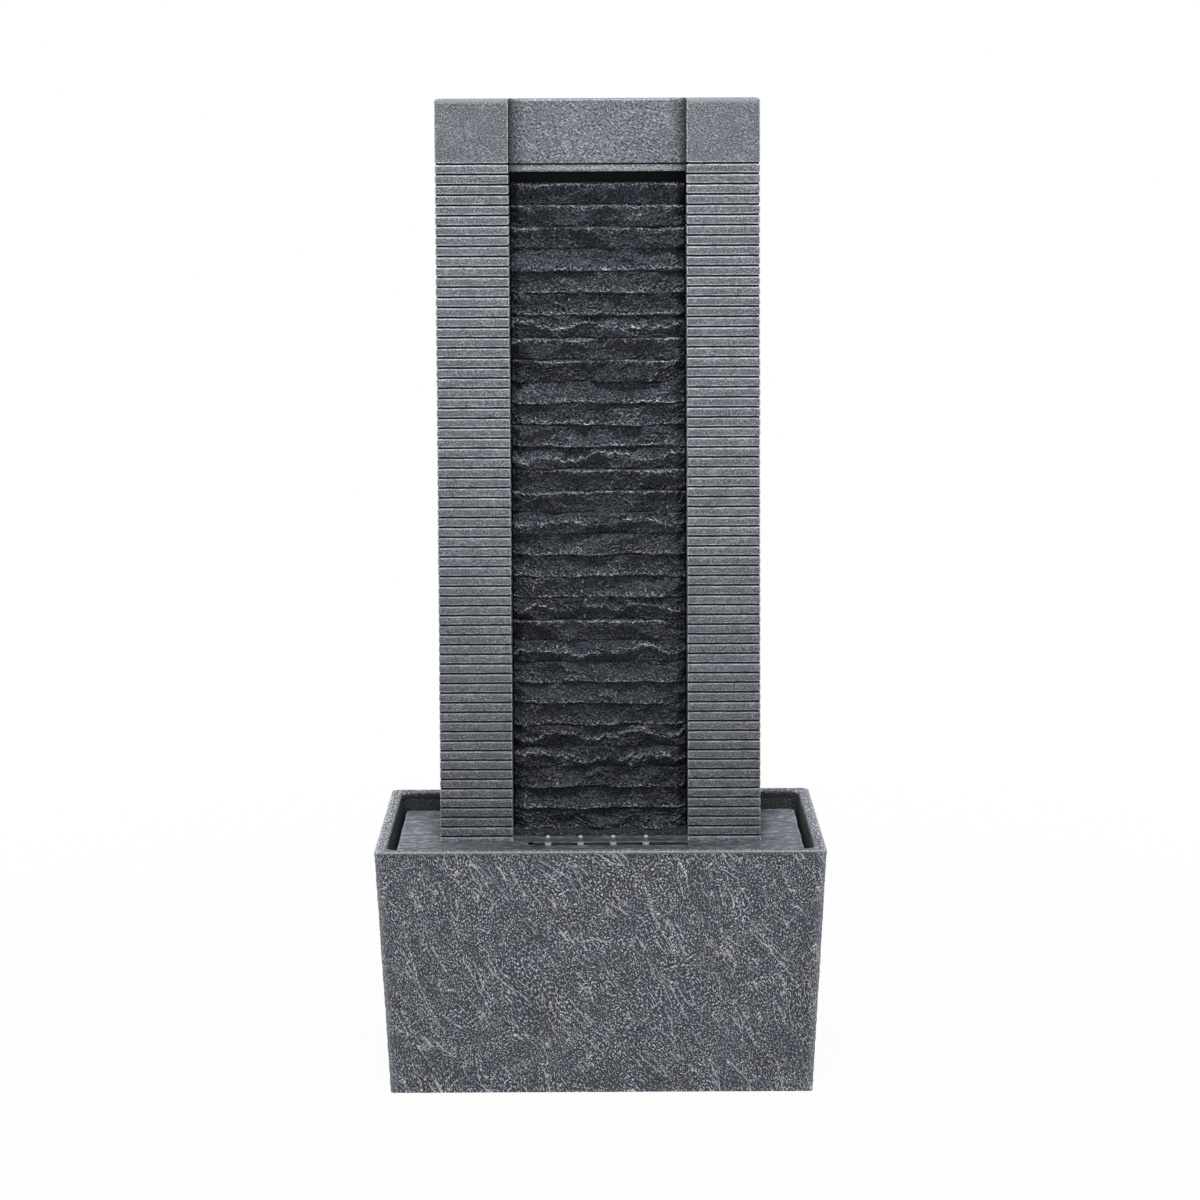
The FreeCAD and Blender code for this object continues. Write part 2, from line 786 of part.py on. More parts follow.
def make_pump_seal():
    axis = point(0, chamber_front, pump_axis_z)
    return ring(pump_seal_radius + pump_seal_section, pump_seal_radius, axis, back, pump_seal_section)


def make_pump_cover():
    """Front plate of the chamber, with the inlet and a three-armed holder for the front bush."""
    plate = pump_block(cover_inset, cover_inset, chamber_front - cover_thickness, chamber_front)
    start = point(0, chamber_front - cover_thickness, pump_axis_z)
    inlet = rod(inlet_radius, start, back, cover_thickness)
    plate = plate.cut(inlet)
    arms = []
    for turn in (0, 120, 240):
        arm = box(0, inlet_radius + 1, chamber_front - cover_thickness, chamber_front - 1,
                  pump_axis_z - 0.8, pump_axis_z + 0.8)
        arm.rotate(start, back, turn + 30)
        arms.append(arm)
    arms.append(rod(bush_radius + 1.2, start, back, cover_thickness))
    bush_hole = rod(bush_radius, point(0, chamber_front - bush_length, pump_axis_z), back, bush_length)
    return fused(plate, arms).cut(bush_hole)


def rotor_start():
    return chamber_front + end_gap


def rotor_end():
    return chamber_back + end_gap + magnet_length


def make_shaft_bushes():
    front_y = chamber_front - bush_length
    front = ring(bush_radius, shaft_radius, point(0, front_y, pump_axis_z), back, bush_length)
    rear_y = rotor_end() + end_gap
    rear = ring(well_radius, shaft_radius, point(0, rear_y, pump_axis_z), back, bush_length)
    return Part.makeCompound([front, rear])


def make_pump_shaft():
    start = chamber_front - bush_length
    length = rotor_end() + end_gap + bush_length - start
    return rod(shaft_radius, point(0, start, pump_axis_z), back, length)


def make_impeller():
    """Six blades on a hub, whose sleeve runs through the magnet."""
    start = rotor_start()
    length = rotor_end() - start
    hub_length = chamber_back - end_gap - start
    axis = point(0, start, pump_axis_z)
    sleeve = rod(sleeve_radius, axis, back, length)
    hub = rod(hub_radius, axis, back, hub_length)
    disc = rod(blade_radius, point(0, start + blade_width + 2, pump_axis_z), back, 2)
    solids = [hub, disc]
    for index in range(blade_count):
        blade = box(hub_radius - 1, blade_radius, start + 2, start + blade_width + 3,
                    pump_axis_z - blade_thickness / 2, pump_axis_z + blade_thickness / 2)
        blade.rotate(axis, back, index * 360 / blade_count)
        solids.append(blade)
    bore = rod(shaft_radius + running_gap, axis, back, length)
    return fused(sleeve, solids).cut(bore)


def make_rotor_magnet():
    start = point(0, chamber_back + end_gap, pump_axis_z)
    return ring(magnet_radius, sleeve_radius, start, back, magnet_length)


def make_pump_feet():
    """Suction cups between the pump and the basin's floor."""
    feet = []
    for x, y in foot_places():
        cup = Part.makeCone(foot_radius, foot_radius / 2, pump_lift / 2, point(x, y, basin_floor), up)
        neck = rod(foot_radius / 2, point(x, y, basin_floor + pump_lift / 2), up, pump_lift / 2 + 3)
        feet.append(fused(cup, [neck]))
    return Part.makeCompound(feet)


def make_pump_gland():
    """Moulded outlet for the pump's cord, which is left out."""
    start = point(0, pump_back, pump_axis_z)
    gland = Part.makeCone(gland_radius, gland_radius * 0.75, gland_length, start, back)
    return gland.cut(rod(gland_hole, start, back, gland_length))


# Strainer cover with slits all round, and the flow dial in its front

def strainer_front():
    return chamber_front - strainer_length


def sector(radius, angle, y0, y1):
    """Wedge of a disc round the rotor axis, centred straight up."""
    half = math.radians(angle / 2)
    reach = radius * 2
    centre = point(0, y0, pump_axis_z)
    left = point(-reach * math.sin(half), y0, pump_axis_z + reach * math.cos(half))
    right = point(reach * math.sin(half), y0, pump_axis_z + reach * math.cos(half))
    wedge = prism([centre, right, left], point(0, y1 - y0, 0))
    return wedge.common(rod(radius, centre, back, y1 - y0))


def make_strainer_cover():
    front = strainer_front()
    shell = pump_block(0, 0, front, chamber_front)
    inset = cover_inset - strainer_gap
    inner = pump_block(inset, inset, front + strainer_wall, chamber_front)
    shell = shell.cut(inner)
    slit_start = front + strainer_wall * 2
    slit_end = chamber_front - cover_thickness - 2
    pitch = (slit_end - slit_start) / slat_count
    low = pump_bottom + pump_corner
    high = pump_top - pump_corner
    for index in range(slat_count):
        y = slit_start + pitch * index
        shell = shell.cut(box(-pump_half_width - 1, pump_half_width + 1, y, y + slot_cut, low, high))
    spigot_hole = rod(dial_spigot + running_gap, point(0, front - 1, pump_axis_z), back, strainer_wall + 2)
    shell = shell.cut(spigot_hole)
    window = sector(window_outer, 60, front, front + strainer_wall).cut(
        rod(window_inner, point(0, front, pump_axis_z), back, strainer_wall))
    opposite = window.copy()
    opposite.rotate(point(0, front, pump_axis_z), back, 180)
    return shell.cut(window).cut(opposite)


def make_flow_dial():
    """Knob, spigot and the two-leaved shutter behind the strainer's front wall."""
    front = strainer_front()
    knob = rod(dial_radius, point(0, front - dial_thickness - end_gap, pump_axis_z), back, dial_thickness)
    knob = knob.cut(rod(window_inner - 1, point(0, front - dial_thickness - end_gap, pump_axis_z), back, 1.2))
    grip = box(-dial_radius + 1, dial_radius - 1, front - dial_thickness - end_gap - dial_grip,
               front - dial_thickness, pump_axis_z - 1.2, pump_axis_z + 1.2)
    shutter_y = front + strainer_wall + end_gap
    spigot_start = point(0, front - end_gap - dial_thickness / 2, pump_axis_z)
    spigot_length = dial_thickness / 2 + strainer_wall + 2 * end_gap + shutter_thickness
    spigot = rod(dial_spigot, spigot_start, back, spigot_length)
    leaf = sector(shutter_radius, 70, shutter_y, shutter_y + shutter_thickness)
    leaf.rotate(point(0, front, pump_axis_z), back, 90)
    other = leaf.copy()
    other.rotate(point(0, front, pump_axis_z), back, 180)
    boss = rod(dial_spigot + 1.5, point(0, shutter_y, pump_axis_z), back, shutter_thickness)
    return fused(knob, [grip, spigot, leaf, other, boss])


os.makedirs("parts", exist_ok=True)
pieces = {
    "basin": make_basin,
    "cable_grommet": make_grommet,
    "deck": make_deck,
    "pillar_left": lambda: make_pillar(-1),
    "pillar_right": lambda: make_pillar(1),
    "lintel": make_lintel,
    "ledge_wall": make_ledge_wall,
    "header_trough": make_header_trough,
    "header_fitting": make_header_fitting,
    "fitting_seal": make_fitting_seal,
    "fitting_nut": make_fitting_nut,
    "riser_hose": make_riser_hose,
    "hose_clamp": make_hose_clamp,
    "back_panel": make_back_panel,
    "panel_screws": make_panel_screws,
    "tower_bolts": make_tower_bolts,
    "tower_washers": make_tower_washers,
    "lamp_carrier": make_lamp_carrier,
    "lamp_holders": make_lamp_holders,
    "lamp_collars": make_lamp_collars,
    "lamp_lenses": make_lamp_lenses,
    "carrier_screws": make_carrier_screws,
    "pump_housing": make_pump_housing,
    "pump_seal": make_pump_seal,
    "pump_cover": make_pump_cover,
    "shaft_bushes": make_shaft_bushes,
    "pump_shaft": make_pump_shaft,
    "impeller": make_impeller,
    "rotor_magnet": make_rotor_magnet,
    "pump_feet": make_pump_feet,
    "pump_gland": make_pump_gland,
    "strainer_cover": make_strainer_cover,
    "flow_dial": make_flow_dial,
}
for node, make in pieces.items():
    save(make(), node)
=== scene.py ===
import math

import bpy
import numpy as np
from mathutils import Matrix, Vector


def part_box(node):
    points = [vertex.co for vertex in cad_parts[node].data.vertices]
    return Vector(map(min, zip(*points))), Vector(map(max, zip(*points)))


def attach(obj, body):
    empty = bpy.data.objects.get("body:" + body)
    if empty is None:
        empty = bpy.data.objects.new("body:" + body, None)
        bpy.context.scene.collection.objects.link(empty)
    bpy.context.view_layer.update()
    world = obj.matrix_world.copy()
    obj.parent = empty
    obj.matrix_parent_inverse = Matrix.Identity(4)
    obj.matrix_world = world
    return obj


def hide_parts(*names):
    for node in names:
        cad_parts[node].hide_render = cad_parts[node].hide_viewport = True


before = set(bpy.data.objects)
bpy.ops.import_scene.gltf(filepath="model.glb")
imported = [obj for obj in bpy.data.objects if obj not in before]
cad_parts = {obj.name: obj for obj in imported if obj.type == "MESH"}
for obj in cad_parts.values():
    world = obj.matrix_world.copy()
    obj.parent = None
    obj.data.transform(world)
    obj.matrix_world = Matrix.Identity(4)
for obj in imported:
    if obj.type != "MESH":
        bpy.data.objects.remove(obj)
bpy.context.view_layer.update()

# Garden wall fountain: slate basin and grooved tower, split-stone water wall, lamps and pump.
# Metres, front is -Y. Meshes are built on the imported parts' own places.

scene = bpy.context.scene


# Surface noise on plain arrays

class Grain:
    def __init__(self, seed):
        draw = np.random.default_rng(seed)
        self.order = draw.permutation(1024)
        angle = draw.uniform(0, 2 * math.pi, 1024)
        self.slopeU, self.slopeV = np.cos(angle), np.sin(angle)

    def at(self, u, v):  # smooth noise, about -1 to 1, one lump to each unit
        cellU, cellV = np.floor(u).astype(int), np.floor(v).astype(int)
        insideU, insideV = u - cellU, v - cellV
        easeU, easeV = (inside ** 3 * (inside * (inside * 6 - 15) + 10) for inside in (insideU, insideV))
        total = 0
        for stepU in (0, 1):
            for stepV in (0, 1):
                pick = self.order[(self.order[(cellU + stepU) % 1024] + cellV + stepV) % 1024]
                slope = self.slopeU[pick] * (insideU - stepU) + self.slopeV[pick] * (insideV - stepV)
                total = total + slope * (easeU if stepU else 1 - easeU) * (easeV if stepV else 1 - easeV)
        return total * 1.45

    def stacked(self, count, gain, layerOf):
        # mean of ever finer layers, each counting for less than the one before
        weights = [gain ** number for number in range(count)]
        return sum(weight * layerOf(number) for number, weight in enumerate(weights)) / sum(weights)

    # each layer is about twice as fine as the last, and shifted so that their lumps don't line up
    def layers(self, u, v, count, gain=0.5):
        return self.stacked(count, gain, lambda n: self.at(u * 2.03 ** n + 17.3 * n, v * 2.03 ** n - 9.1 * n))

    def ridges(self, u, v, count, gain=0.55):  # 1 on thin crests, falling to 0 between them
        def crest(n):
            return 1 - np.abs(self.at(u * 2.1 ** n + 5.7 * n, v * 2.1 ** n + 3.3 * n)) * 1.6
        return self.stacked(count, gain, lambda n: np.clip(crest(n), 0, 1) ** 2)


def ease(value, low, high):
    share = np.clip((value - low) / (high - low), 0, 1)
    return share * share * (3 - 2 * share)


def blurred(field, reach, wrap=False):
    # mean over a square window, columns wrapping round a ring where asked
    for axis in (0, 1):
        width = [(0, 0), (0, 0)]
        width[axis] = (reach, reach)
        padded = np.pad(field, width, mode="wrap" if wrap and axis == 1 else "edge")
        start = np.zeros_like(np.take(padded, [0], axis))
        total = np.concatenate([start, np.cumsum(padded, axis)], axis)
        span = 2 * reach + 1
        length = field.shape[axis]
        high = np.take(total, range(span, span + length), axis)
        low = np.take(total, range(length), axis)
        field = (high - low) / span
    return field


def crestOf(height, reach, wrap=False):
    # how far each point stands over what is round it, 0.5 where level
    over = height - blurred(height, reach, wrap)
    return np.clip(0.5 + over / (over.std() * 5 + 1e-9), 0, 1)


def linesOf(field, up, along, half):
    # 1 on the even thin lines where the field crosses 0, given its rows' and columns' places
    rise, run = np.gradient(field, up, along)
    return np.clip(1 - np.abs(field) / (np.hypot(rise, run) * half + 1e-9), 0, 1)


# Meshes made of rings of points

def outlinePoints(x0, x1, y0, y1, radius, counts):
    # level rounded rectangle, anticlockwise from the left end of its front
    front, side, rear, corner = counts
    turn = (np.arange(corner) + 0.5) / corner * math.pi / 2
    left, right, near, far = x0 + radius, x1 - radius, y0 + radius, y1 - radius
    parts = []
    for number, (start, end, count, centre) in enumerate((
            ((left, y0), (right, y0), front, (right, near)), ((x1, near), (x1, far), side, (right, far)),
            ((right, y1), (left, y1), rear, (left, far)), ((x0, far), (x0, near), side, (left, near)))):
        share = np.linspace(0, 1, count)[:, None]
        parts.append(np.array(start) * (1 - share) + np.array(end) * share)
        angle = (number - 1) * math.pi / 2 + turn
        parts.append(np.array(centre) + radius * np.stack([np.cos(angle), np.sin(angle)], 1))
    return np.concatenate(parts)


def outwardOf(ring):
    along = np.roll(ring, -1, 0) - np.roll(ring, 1, 0)
    out = np.stack([along[:, 1], -along[:, 0]], 1)
    return out / np.linalg.norm(out, axis=1)[:, None]


def lengthsAlong(ring):
    steps = np.linalg.norm(np.roll(ring, -1, 0) - ring, axis=1)
    return np.concatenate([[0], np.cumsum(steps)[:-1]])


def level(ring, z):
    # a plan outline as points at one height, or at a height for each point
    return np.column_stack([ring, np.broadcast_to(z, len(ring))])


def perRow(values, grid):
    # one value for each row of the grid
    return np.broadcast_to(values[:, None], grid.shape)


def ringFaces(rows, columns, start):
    row = np.arange(rows - 1)[:, None] * columns
    column = np.arange(columns)[None, :]
    after = (column + 1) % columns
    quads = np.stack([row + column, row + after, row + columns + after, row + columns + column], -1)
    return start + quads.reshape(-1, 4)


def bridgeFaces(lowStart, lowCount, highStart, highCount):
    # faces from one ring to the next above it, where one has a whole number of times the other's points
    faces = []
    ratio = max(lowCount, highCount) // min(lowCount, highCount)
    for step in range(min(lowCount, highCount)):
        if lowCount >= highCount:
            low = [lowStart + (step * ratio + i) % lowCount for i in range(ratio + 1)]
            high = [highStart + (step + 1) % highCount, highStart + step]
        else:
            low = [lowStart + step, lowStart + (step + 1) % lowCount]
            high = [highStart + (step * ratio + i) % highCount for i in range(ratio, -1, -1)]
        faces.append(low + high)
    return faces


def linked(name, data):
    made = bpy.data.objects.new(name, data)
    scene.collection.objects.link(made)
    return made


class Skin:
    # collects rings, faces and point values, and makes one mesh object of them

    def __init__(self, name, **usual):
        self.name = name
        self.usual = usual
        self.points = []
        self.faces = []
        self.values = {key: [] for key in usual}
        self.count = 0

    def add(self, points, faces, **values):
        points = np.asarray(points, float).reshape(-1, 3)
        self.faces.extend(np.asarray(faces).tolist() if isinstance(faces, np.ndarray) else faces)
        self.points.append(points)
        for key, usual in self.usual.items():
            given = np.asarray(values.get(key, usual), float).ravel()
            self.values[key].append(np.broadcast_to(given, len(points)))
        self.count += len(points)
        return self.count - len(points)

    def tube(self, rings, capLow=True, capHigh=True, **values):
        # rings as rows of points that go round anticlockwise, from low to high
        rows, columns = rings.shape[:2]
        start = self.add(rings, ringFaces(rows, columns, self.count), **values)
        if capLow:
            self.faces.append(list(range(start + columns - 1, start - 1, -1)))
        if capHigh:
            last = start + (rows - 1) * columns
            self.faces.append(list(range(last, last + columns)))
        return start

    def block(self, x0, x1, y0, y1, z0, z1, **values):
        corners = [(x0, y0), (x1, y0), (x1, y1), (x0, y1)]
        rings = np.array([[(x, y, z) for x, y in corners] for z in (z0, z1)])
        return self.tube(rings, **values)

    def finish(self, material, sharpFrom=52):
        mesh = bpy.data.meshes.new(self.name)
        mesh.from_pydata(np.concatenate(self.points), [], self.faces, shade_flat=False)
        mesh.validate()
        mesh.set_sharp_from_angle(angle=math.radians(sharpFrom))
        for key, parts in self.values.items():
            layer = mesh.attributes.new(key, "FLOAT", "POINT")
            layer.data.foreach_set("value", np.concatenate(parts).astype(np.float32))
        mesh.materials.append(material)
        return linked(self.name, mesh)


# Shader sockets that take plain arithmetic

class Wire:
    def __init__(self, nodes, socket):
        self.nodes = nodes
        self.socket = socket

    def __add__(self, other):
        return self.nodes.combine("ADD", self, other)

    def __radd__(self, other):
        return self.nodes.combine("ADD", other, self)

    def __sub__(self, other):
        return self.nodes.combine("SUBTRACT", self, other)

    def __rsub__(self, other):
        return self.nodes.combine("SUBTRACT", other, self)

    def __mul__(self, other):
        return self.nodes.combine("MULTIPLY", self, other)

    def __rmul__(self, other):
        return self.nodes.combine("MULTIPLY", other, self)

    def between(self, low, high):  # 0 below low, 1 above high, eased
        return self.nodes.add("MapRange", {"interpolation_type": "SMOOTHSTEP", "clamp": True},
                              {"Value": self, "From Min": low, "From Max": high}, "Result")


class Nodes:
    # adds nodes to one tree and gives back what they put out as wires

    def __init__(self, tree):
        self.tree = tree
        tree.nodes.clear()

    def join(self, socket, value):
        if isinstance(value, Wire):
            self.tree.links.new(value.socket, socket)
        elif isinstance(value, tuple) and socket.type == "RGBA":
            socket.default_value = (*value, 1.0)
        else:
            socket.default_value = value

    def add(self, kind, settings=None, inputs=None, out=0):
        node = self.tree.nodes.new("ShaderNode" + kind)
        for key, value in (settings or {}).items():
            setattr(node, key, value)
        for key, value in (inputs or {}).items():
            self.join(node.inputs[key], value)
        return Wire(self, node.outputs[out]) if len(node.outputs) else node

    def combine(self, operation, first, second):
        kinds = {x.socket.type for x in (first, second) if isinstance(x, Wire)}
        if "RGBA" in kinds:
            settings = {"data_type": "RGBA", "blend_type": operation}
            return self.add("Mix", settings, {0: 1.0, 6: first, 7: second}, 2)
        node = "VectorMath" if "VECTOR" in kinds else "Math"
        return self.add(node, {"operation": operation}, {0: first, 1: second})

    def most(self, first, *others):
        for other in others:
            first = self.add("Math", {"operation": "MAXIMUM"}, {0: first, 1: other})
        return first

    def seesWhite(self):  # 1 for rays from the camera, a mirror or glass
        rays = [self.add("LightPath", out=f"Is {kind} Ray") for kind in ("Camera", "Glossy", "Transmission")]
        return self.most(*rays)


class Finish(Nodes):
    # one material, whose shader sockets are set by name with _ for a space

    def __init__(self, name, **constants):
        self.material = bpy.data.materials.new(name)
        self.material.use_nodes = True
        super().__init__(self.material.node_tree)
        self.surface = self.add("BsdfPrincipled")
        self.output = self.add("OutputMaterial", {}, {"Surface": self.surface})
        for key, value in constants.items():
            self.put(key, value)

    def put(self, key, value):
        self.join(self.surface.socket.node.inputs[key.replace("_", " ")], value)

    def blend(self, share, low, high):
        return self.add("Mix", {"data_type": "RGBA", "clamp_factor": True}, {0: share, 6: low, 7: high}, 2)

    def place(self, stretch=(1, 1, 1), turn=0.0, shift=(0, 0, 0)):
        # object coordinates turned about the front-to-back axis, then drawn out by the stretch
        where = self.add("TexCoord", out="Object")
        inputs = {"Vector": where, "Scale": stretch, "Location": shift, "Rotation": (0.0, turn, 0.0)}
        return self.add("Mapping", {"vector_type": "TEXTURE"}, inputs)

    def noise(self, scale, detail=3.0, where=None, roughness=0.6, **placing):
        inputs = {"Vector": where or self.place(**placing), "Scale": scale, "Detail": detail}
        return self.add("TexNoise", {}, {**inputs, "Roughness": roughness})

    def vein(self, where, scale, width):  # 1 on thin wandering lines
        drift = self.noise(scale, 2.0, where, 0.5) - 0.5
        return 1 - self.size(drift).between(width * 0.3, width)

    def cracks(self, where, scale, half):  # 1 on thin borders between cells, with the half width in metres
        settings = {"feature": "DISTANCE_TO_EDGE", "voronoi_dimensions": "2D"}
        gap = self.add("TexVoronoi", settings, {"Vector": where, "Scale": scale}, "Distance")
        return 1 - gap.between(half * scale * 0.3, half * scale * 1.4)

    def size(self, value):
        return self.add("Math", {"operation": "ABSOLUTE"}, {0: value})

    def value(self, name):  # a point value of the mesh
        return self.add("Attribute", {"attribute_name": name}, out="Fac")

    def wear(self, colour, rough, height, strength, distance):
        # sets what varies over the surface, and gives the finished material
        self.put("Base_Color", colour)
        self.put("Roughness", rough)
        self.put("Normal", self.add("Bump", {}, {"Height": height, "Strength": strength, "Distance": distance}))
        return self.material


def grey(level, blue=0.0):
    # colour from a screen level of 0 to 255, leaning to blue by so many levels
    return tuple(toLinear(level + lean * blue) for lean in (-0.45, -0.09, 0.54))


def toLinear(level):
    share = max(level, 0) / 255
    return share / 12.92 if share <= 0.04045 else ((share + 0.055) / 1.055) ** 2.4


# Stone finishes: a grey body, fine grain, dark wash with painted shade in the hollows, and dry-brushed ridges that
# also stand in for highlights

def mottled(stone, look, patches, brown):
    # the body colour in two soft shades, with brown stains
    body = stone.blend(patches.between(0.35, 0.65), look["body"], look["bodyLight"])
    return stone.blend(brown * look["brownShare"], body, look["brown"])


def weatheredAndShaded(stone, look, body, grain, pale, deep):
    # grain, dark pits (wash and painted shade) and pale ridges (dry brush and painted highlight) over the body
    # colour, then the mesh's pale edges, its painted shade in grooves and joints, and its shade multiplier, which
    # holds painted light and shade and some real tone
    edge = stone.value("edge")
    hollow = stone.value("hollow")
    body = body * (1 + (grain - 0.5) * look["grainDepth"])
    body = stone.blend(deep * look["deepShare"], body, look["deep"])
    body = stone.blend(pale * look["paleShare"], body, look["pale"])
    body = stone.blend(edge * (grain * 1.6 + 0.2), body, look["pale"])
    body = stone.blend(hollow, body, look["hollow"])
    return body * stone.value("shade")


basinLook = {
    "body": grey(79, 15), "bodyLight": grey(84, 16), "brown": grey(76, 0), "deep": grey(40, 9),
    "pale": grey(252, 11), "hollow": grey(30, 5),
    "grainDepth": 1.4, "deepShare": 0.8, "paleShare": 1.0, "brownShare": 0.6,
    "patchScale": 13.0, "brownScale": 14.0, "busyScale": 30.0, "gritScale": 540.0, "fineScale": 640.0,
    "bendScale": 130.0, "bend": 0.009, "crumbScale": 250.0, "crumbHalf": 0.00065,
    "bump": 1.0, "bumpDepth": 0.0032, "shine": 0.3,
}


def basinStone(look):
    stone = Finish("slate_basin", Specular_IOR_Level=look["shine"])
    along, across = stone.value("flowU"), stone.value("flowV")
    flow = stone.add("CombineXYZ", {}, {"X": along, "Y": across, "Z": 0.0})
    swing = (stone.noise(look["bendScale"], 2.5, flow) - 0.5) * look["bend"]
    sway = (stone.noise(look["bendScale"], 2.5, flow + (5.2, 0.7, 0.0)) - 0.5) * look["bend"]
    bent = stone.add("CombineXYZ", {}, {"X": along + swing, "Y": across + sway, "Z": 0.0})
    patches = stone.noise(look["patchScale"], 4.0, flow)
    brown = stone.noise(look["brownScale"], where=flow + (3.7, 1.9, 0.0)).between(0.50, 0.62)
    busy = stone.noise(look["busyScale"], where=flow + (1.3, 5.1, 0.0)).between(0.36, 0.64)
    grit = stone.noise(look["gritScale"], 0.0, flow * (0.75, 1.0, 1.0))
    fine = stone.noise(look["fineScale"], 0.0, flow + (4.0, 0.5, 0.0))
    crumbs = stone.cracks(bent * (0.7, 1.0, 1.0) + (1.0, 4.0, 0.0), look["crumbScale"], look["crumbHalf"])
    crumbs = crumbs * grit.between(0.44, 0.56) * (busy * 0.35 + 0.15)
    # Pale specks and lines are dry brush that also stands in for highlights; the deep pits are dark wash and
    # painted shade.
    specks = grit.between(0.62, 0.67) * (busy * 0.45 + 0.5)
    ridges = stone.most(stone.value("lines").between(0.25, 0.85), crumbs)
    pale = stone.most(ridges * (fine.between(0.38, 0.50) * 0.5 + 0.5), specks) * stone.value("worn")
    deep = (1 - grit.between(0.26, 0.38)) * 0.45
    # painted light and shade: the body is lighter on the relief's crests and darker in its hollows
    body = mottled(stone, look, patches, brown) * (stone.value("crest") * 0.3 + 0.85)
    colour = weatheredAndShaded(stone, look, body, fine * 0.6 + grit * 0.4, pale, deep)
    rough = 0.74 - pale * 0.10 + (grit - 0.5) * 0.2
    height = ridges * 0.3 + grit * 0.5 + fine * 0.2
    return stone.wear(colour, rough, height, look["bump"], look["bumpDepth"])


towerLook = {
    "body": grey(115, 11), "bodyLight": grey(121, 12), "brown": grey(113, 5), "deep": grey(66, 9),
    "pale": grey(235, 12), "hollow": grey(17, 4),
    "grainDepth": 1.9, "deepShare": 0.55, "paleShare": 0.48, "brownShare": 0.35,
    "patchScale": 12.0, "brownScale": 7.0, "busyScale": 30.0, "turnedScale": 24.0, "grainScale": 600.0,
    "fineScale": 600.0, "marksTurn": 0.8, "marksStretch": (1.4, 1.0, 1.0), "veinScale": 120.0, "veinWidth": 0.05,
    "bump": 1.0, "bumpDepth": 0.0015, "shine": 0.3,
}


def towerStone(name, look):
    stone = Finish(name, Specular_IOR_Level=look["shine"])
    patches = stone.noise(look["patchScale"], 4.0)
    brown = stone.noise(look["brownScale"], shift=(2.1, 0.3, 4.4)).between(0.52, 0.68)
    marks = stone.noise(look["grainScale"], 0.5, stretch=look["marksStretch"], turn=look["marksTurn"])
    crossing = stone.noise(look["grainScale"], 0.5, stretch=look["marksStretch"], turn=-look["marksTurn"])
    turned = stone.noise(look["turnedScale"], 2.0, roughness=0.5, shift=(0.2, 3.3, 0.9)).between(0.44, 0.56)
    marks = marks * turned + crossing * (1 - turned)
    fine = stone.noise(look["fineScale"], 0.0, shift=(0.7, 0.1, 0.5))
    busy = stone.noise(look["busyScale"], shift=(5.1, 2.3, 1.4)).between(0.40, 0.62)
    nicks = stone.vein(stone.place(shift=(1.1, 4.1, 2.4)), look["veinScale"], look["veinWidth"]) * busy
    specks = marks.between(0.60, 0.66) * (busy * 0.2 + 0.6)
    pale = stone.most(specks, nicks * 0.4)
    deep = 1 - marks.between(0.30, 0.44)
    body = mottled(stone, look, patches, brown)
    colour = weatheredAndShaded(stone, look, body, fine * 0.6 + marks * 0.4, pale, deep)
    rough = 0.70 + (marks - 0.5) * 0.2
    height = marks * 0.9 + fine * 0.3 + nicks * 0.1
    return stone.wear(colour, rough, height, look["bump"], look["bumpDepth"])


ledgeLook = {
    "body": grey(64, 16), "bodyLight": grey(70, 17), "brown": grey(66, 8), "deep": grey(18, 7),
    "pale": grey(247, 14), "hollow": grey(10, 3),
    "grainDepth": 2.2, "deepShare": 0.8, "paleShare": 0.9, "brownShare": 0.5,
    "patchScale": 22.0, "brownScale": 15.0, "busyScale": 36.0, "brokenScale": 210.0, "wanderScale": 260.0,
    "gritScale": 540.0, "fineScale": 640.0, "bump": 1.0, "bumpDepth": 0.0036, "shine": 0.35,
}


def ledgeStone(look):
    stone = Finish("slate_ledge", Specular_IOR_Level=look["shine"])
    patches = stone.noise(look["patchScale"], 4.0)
    brown = stone.noise(look["brownScale"], shift=(2.1, 0.3, 4.4)).between(0.52, 0.64)
    grit = stone.noise(look["gritScale"], 0.0, stretch=(1.5, 1.0, 1.0), turn=0.65)
    fine = stone.noise(look["fineScale"], 0.0)
    busy = stone.noise(look["busyScale"], shift=(5.1, 2.3, 1.4)).between(0.42, 0.60)
    broken = stone.noise(look["brokenScale"], 2.0, stretch=(1.6, 1.0, 1.0), shift=(1.7, 2.9, 0.2))
    broken = broken.between(0.42, 0.56)
    wander = (stone.noise(look["wanderScale"], 2.0, shift=(0.4, 0.9, 2.0)) - 0.5) * 1.3
    crestGap = stone.size(stone.value("crestGap") + wander)
    facetGap = stone.value("facetGap") + wander * 0.4
    # Pale crest lines, facet ridges, specks and scratches are dry brush that also stands in for highlights; the
    # deep pits are dark wash and painted shade.
    crest = (1 - crestGap.between(0.03, 0.16)) * (broken * 0.8 + 0.2) * (busy * 0.6 + 0.4)
    facet = (1 - facetGap.between(0.03, 0.14)) * busy * (broken * 0.8 + 0.2)
    near = 1 - crestGap.between(0.2, 1.2)
    brushed = stone.value("crest").between(0.62, 0.85) * grit.between(0.46, 0.58) * near * 0.3
    specks = grit.between(0.62, 0.67) * (near * 0.5 + 0.15)
    veins = stone.value("lines").between(0.3, 0.85) * (broken * 0.7 + 0.3) * (busy * 0.5 + near * 0.2 + 0.25)
    pale = stone.most(crest, facet * 0.9, brushed, specks * 0.8, veins * 0.9)
    deep = 1 - grit.between(0.32, 0.48)
    # painted light and shade: the body is lighter on the relief's crests and darker in its hollows
    body = mottled(stone, look, patches, brown) * (stone.value("crest") * 0.4 + 0.8)
    colour = weatheredAndShaded(stone, look, body, fine * 0.5 + grit * 0.5, pale, deep)
    rough = 0.66 - pale * 0.08 + (grit - 0.5) * 0.2
    height = grit * 0.8 + fine * 0.3 + veins * 0.4
    return stone.wear(colour, rough, height, look["bump"], look["bumpDepth"])


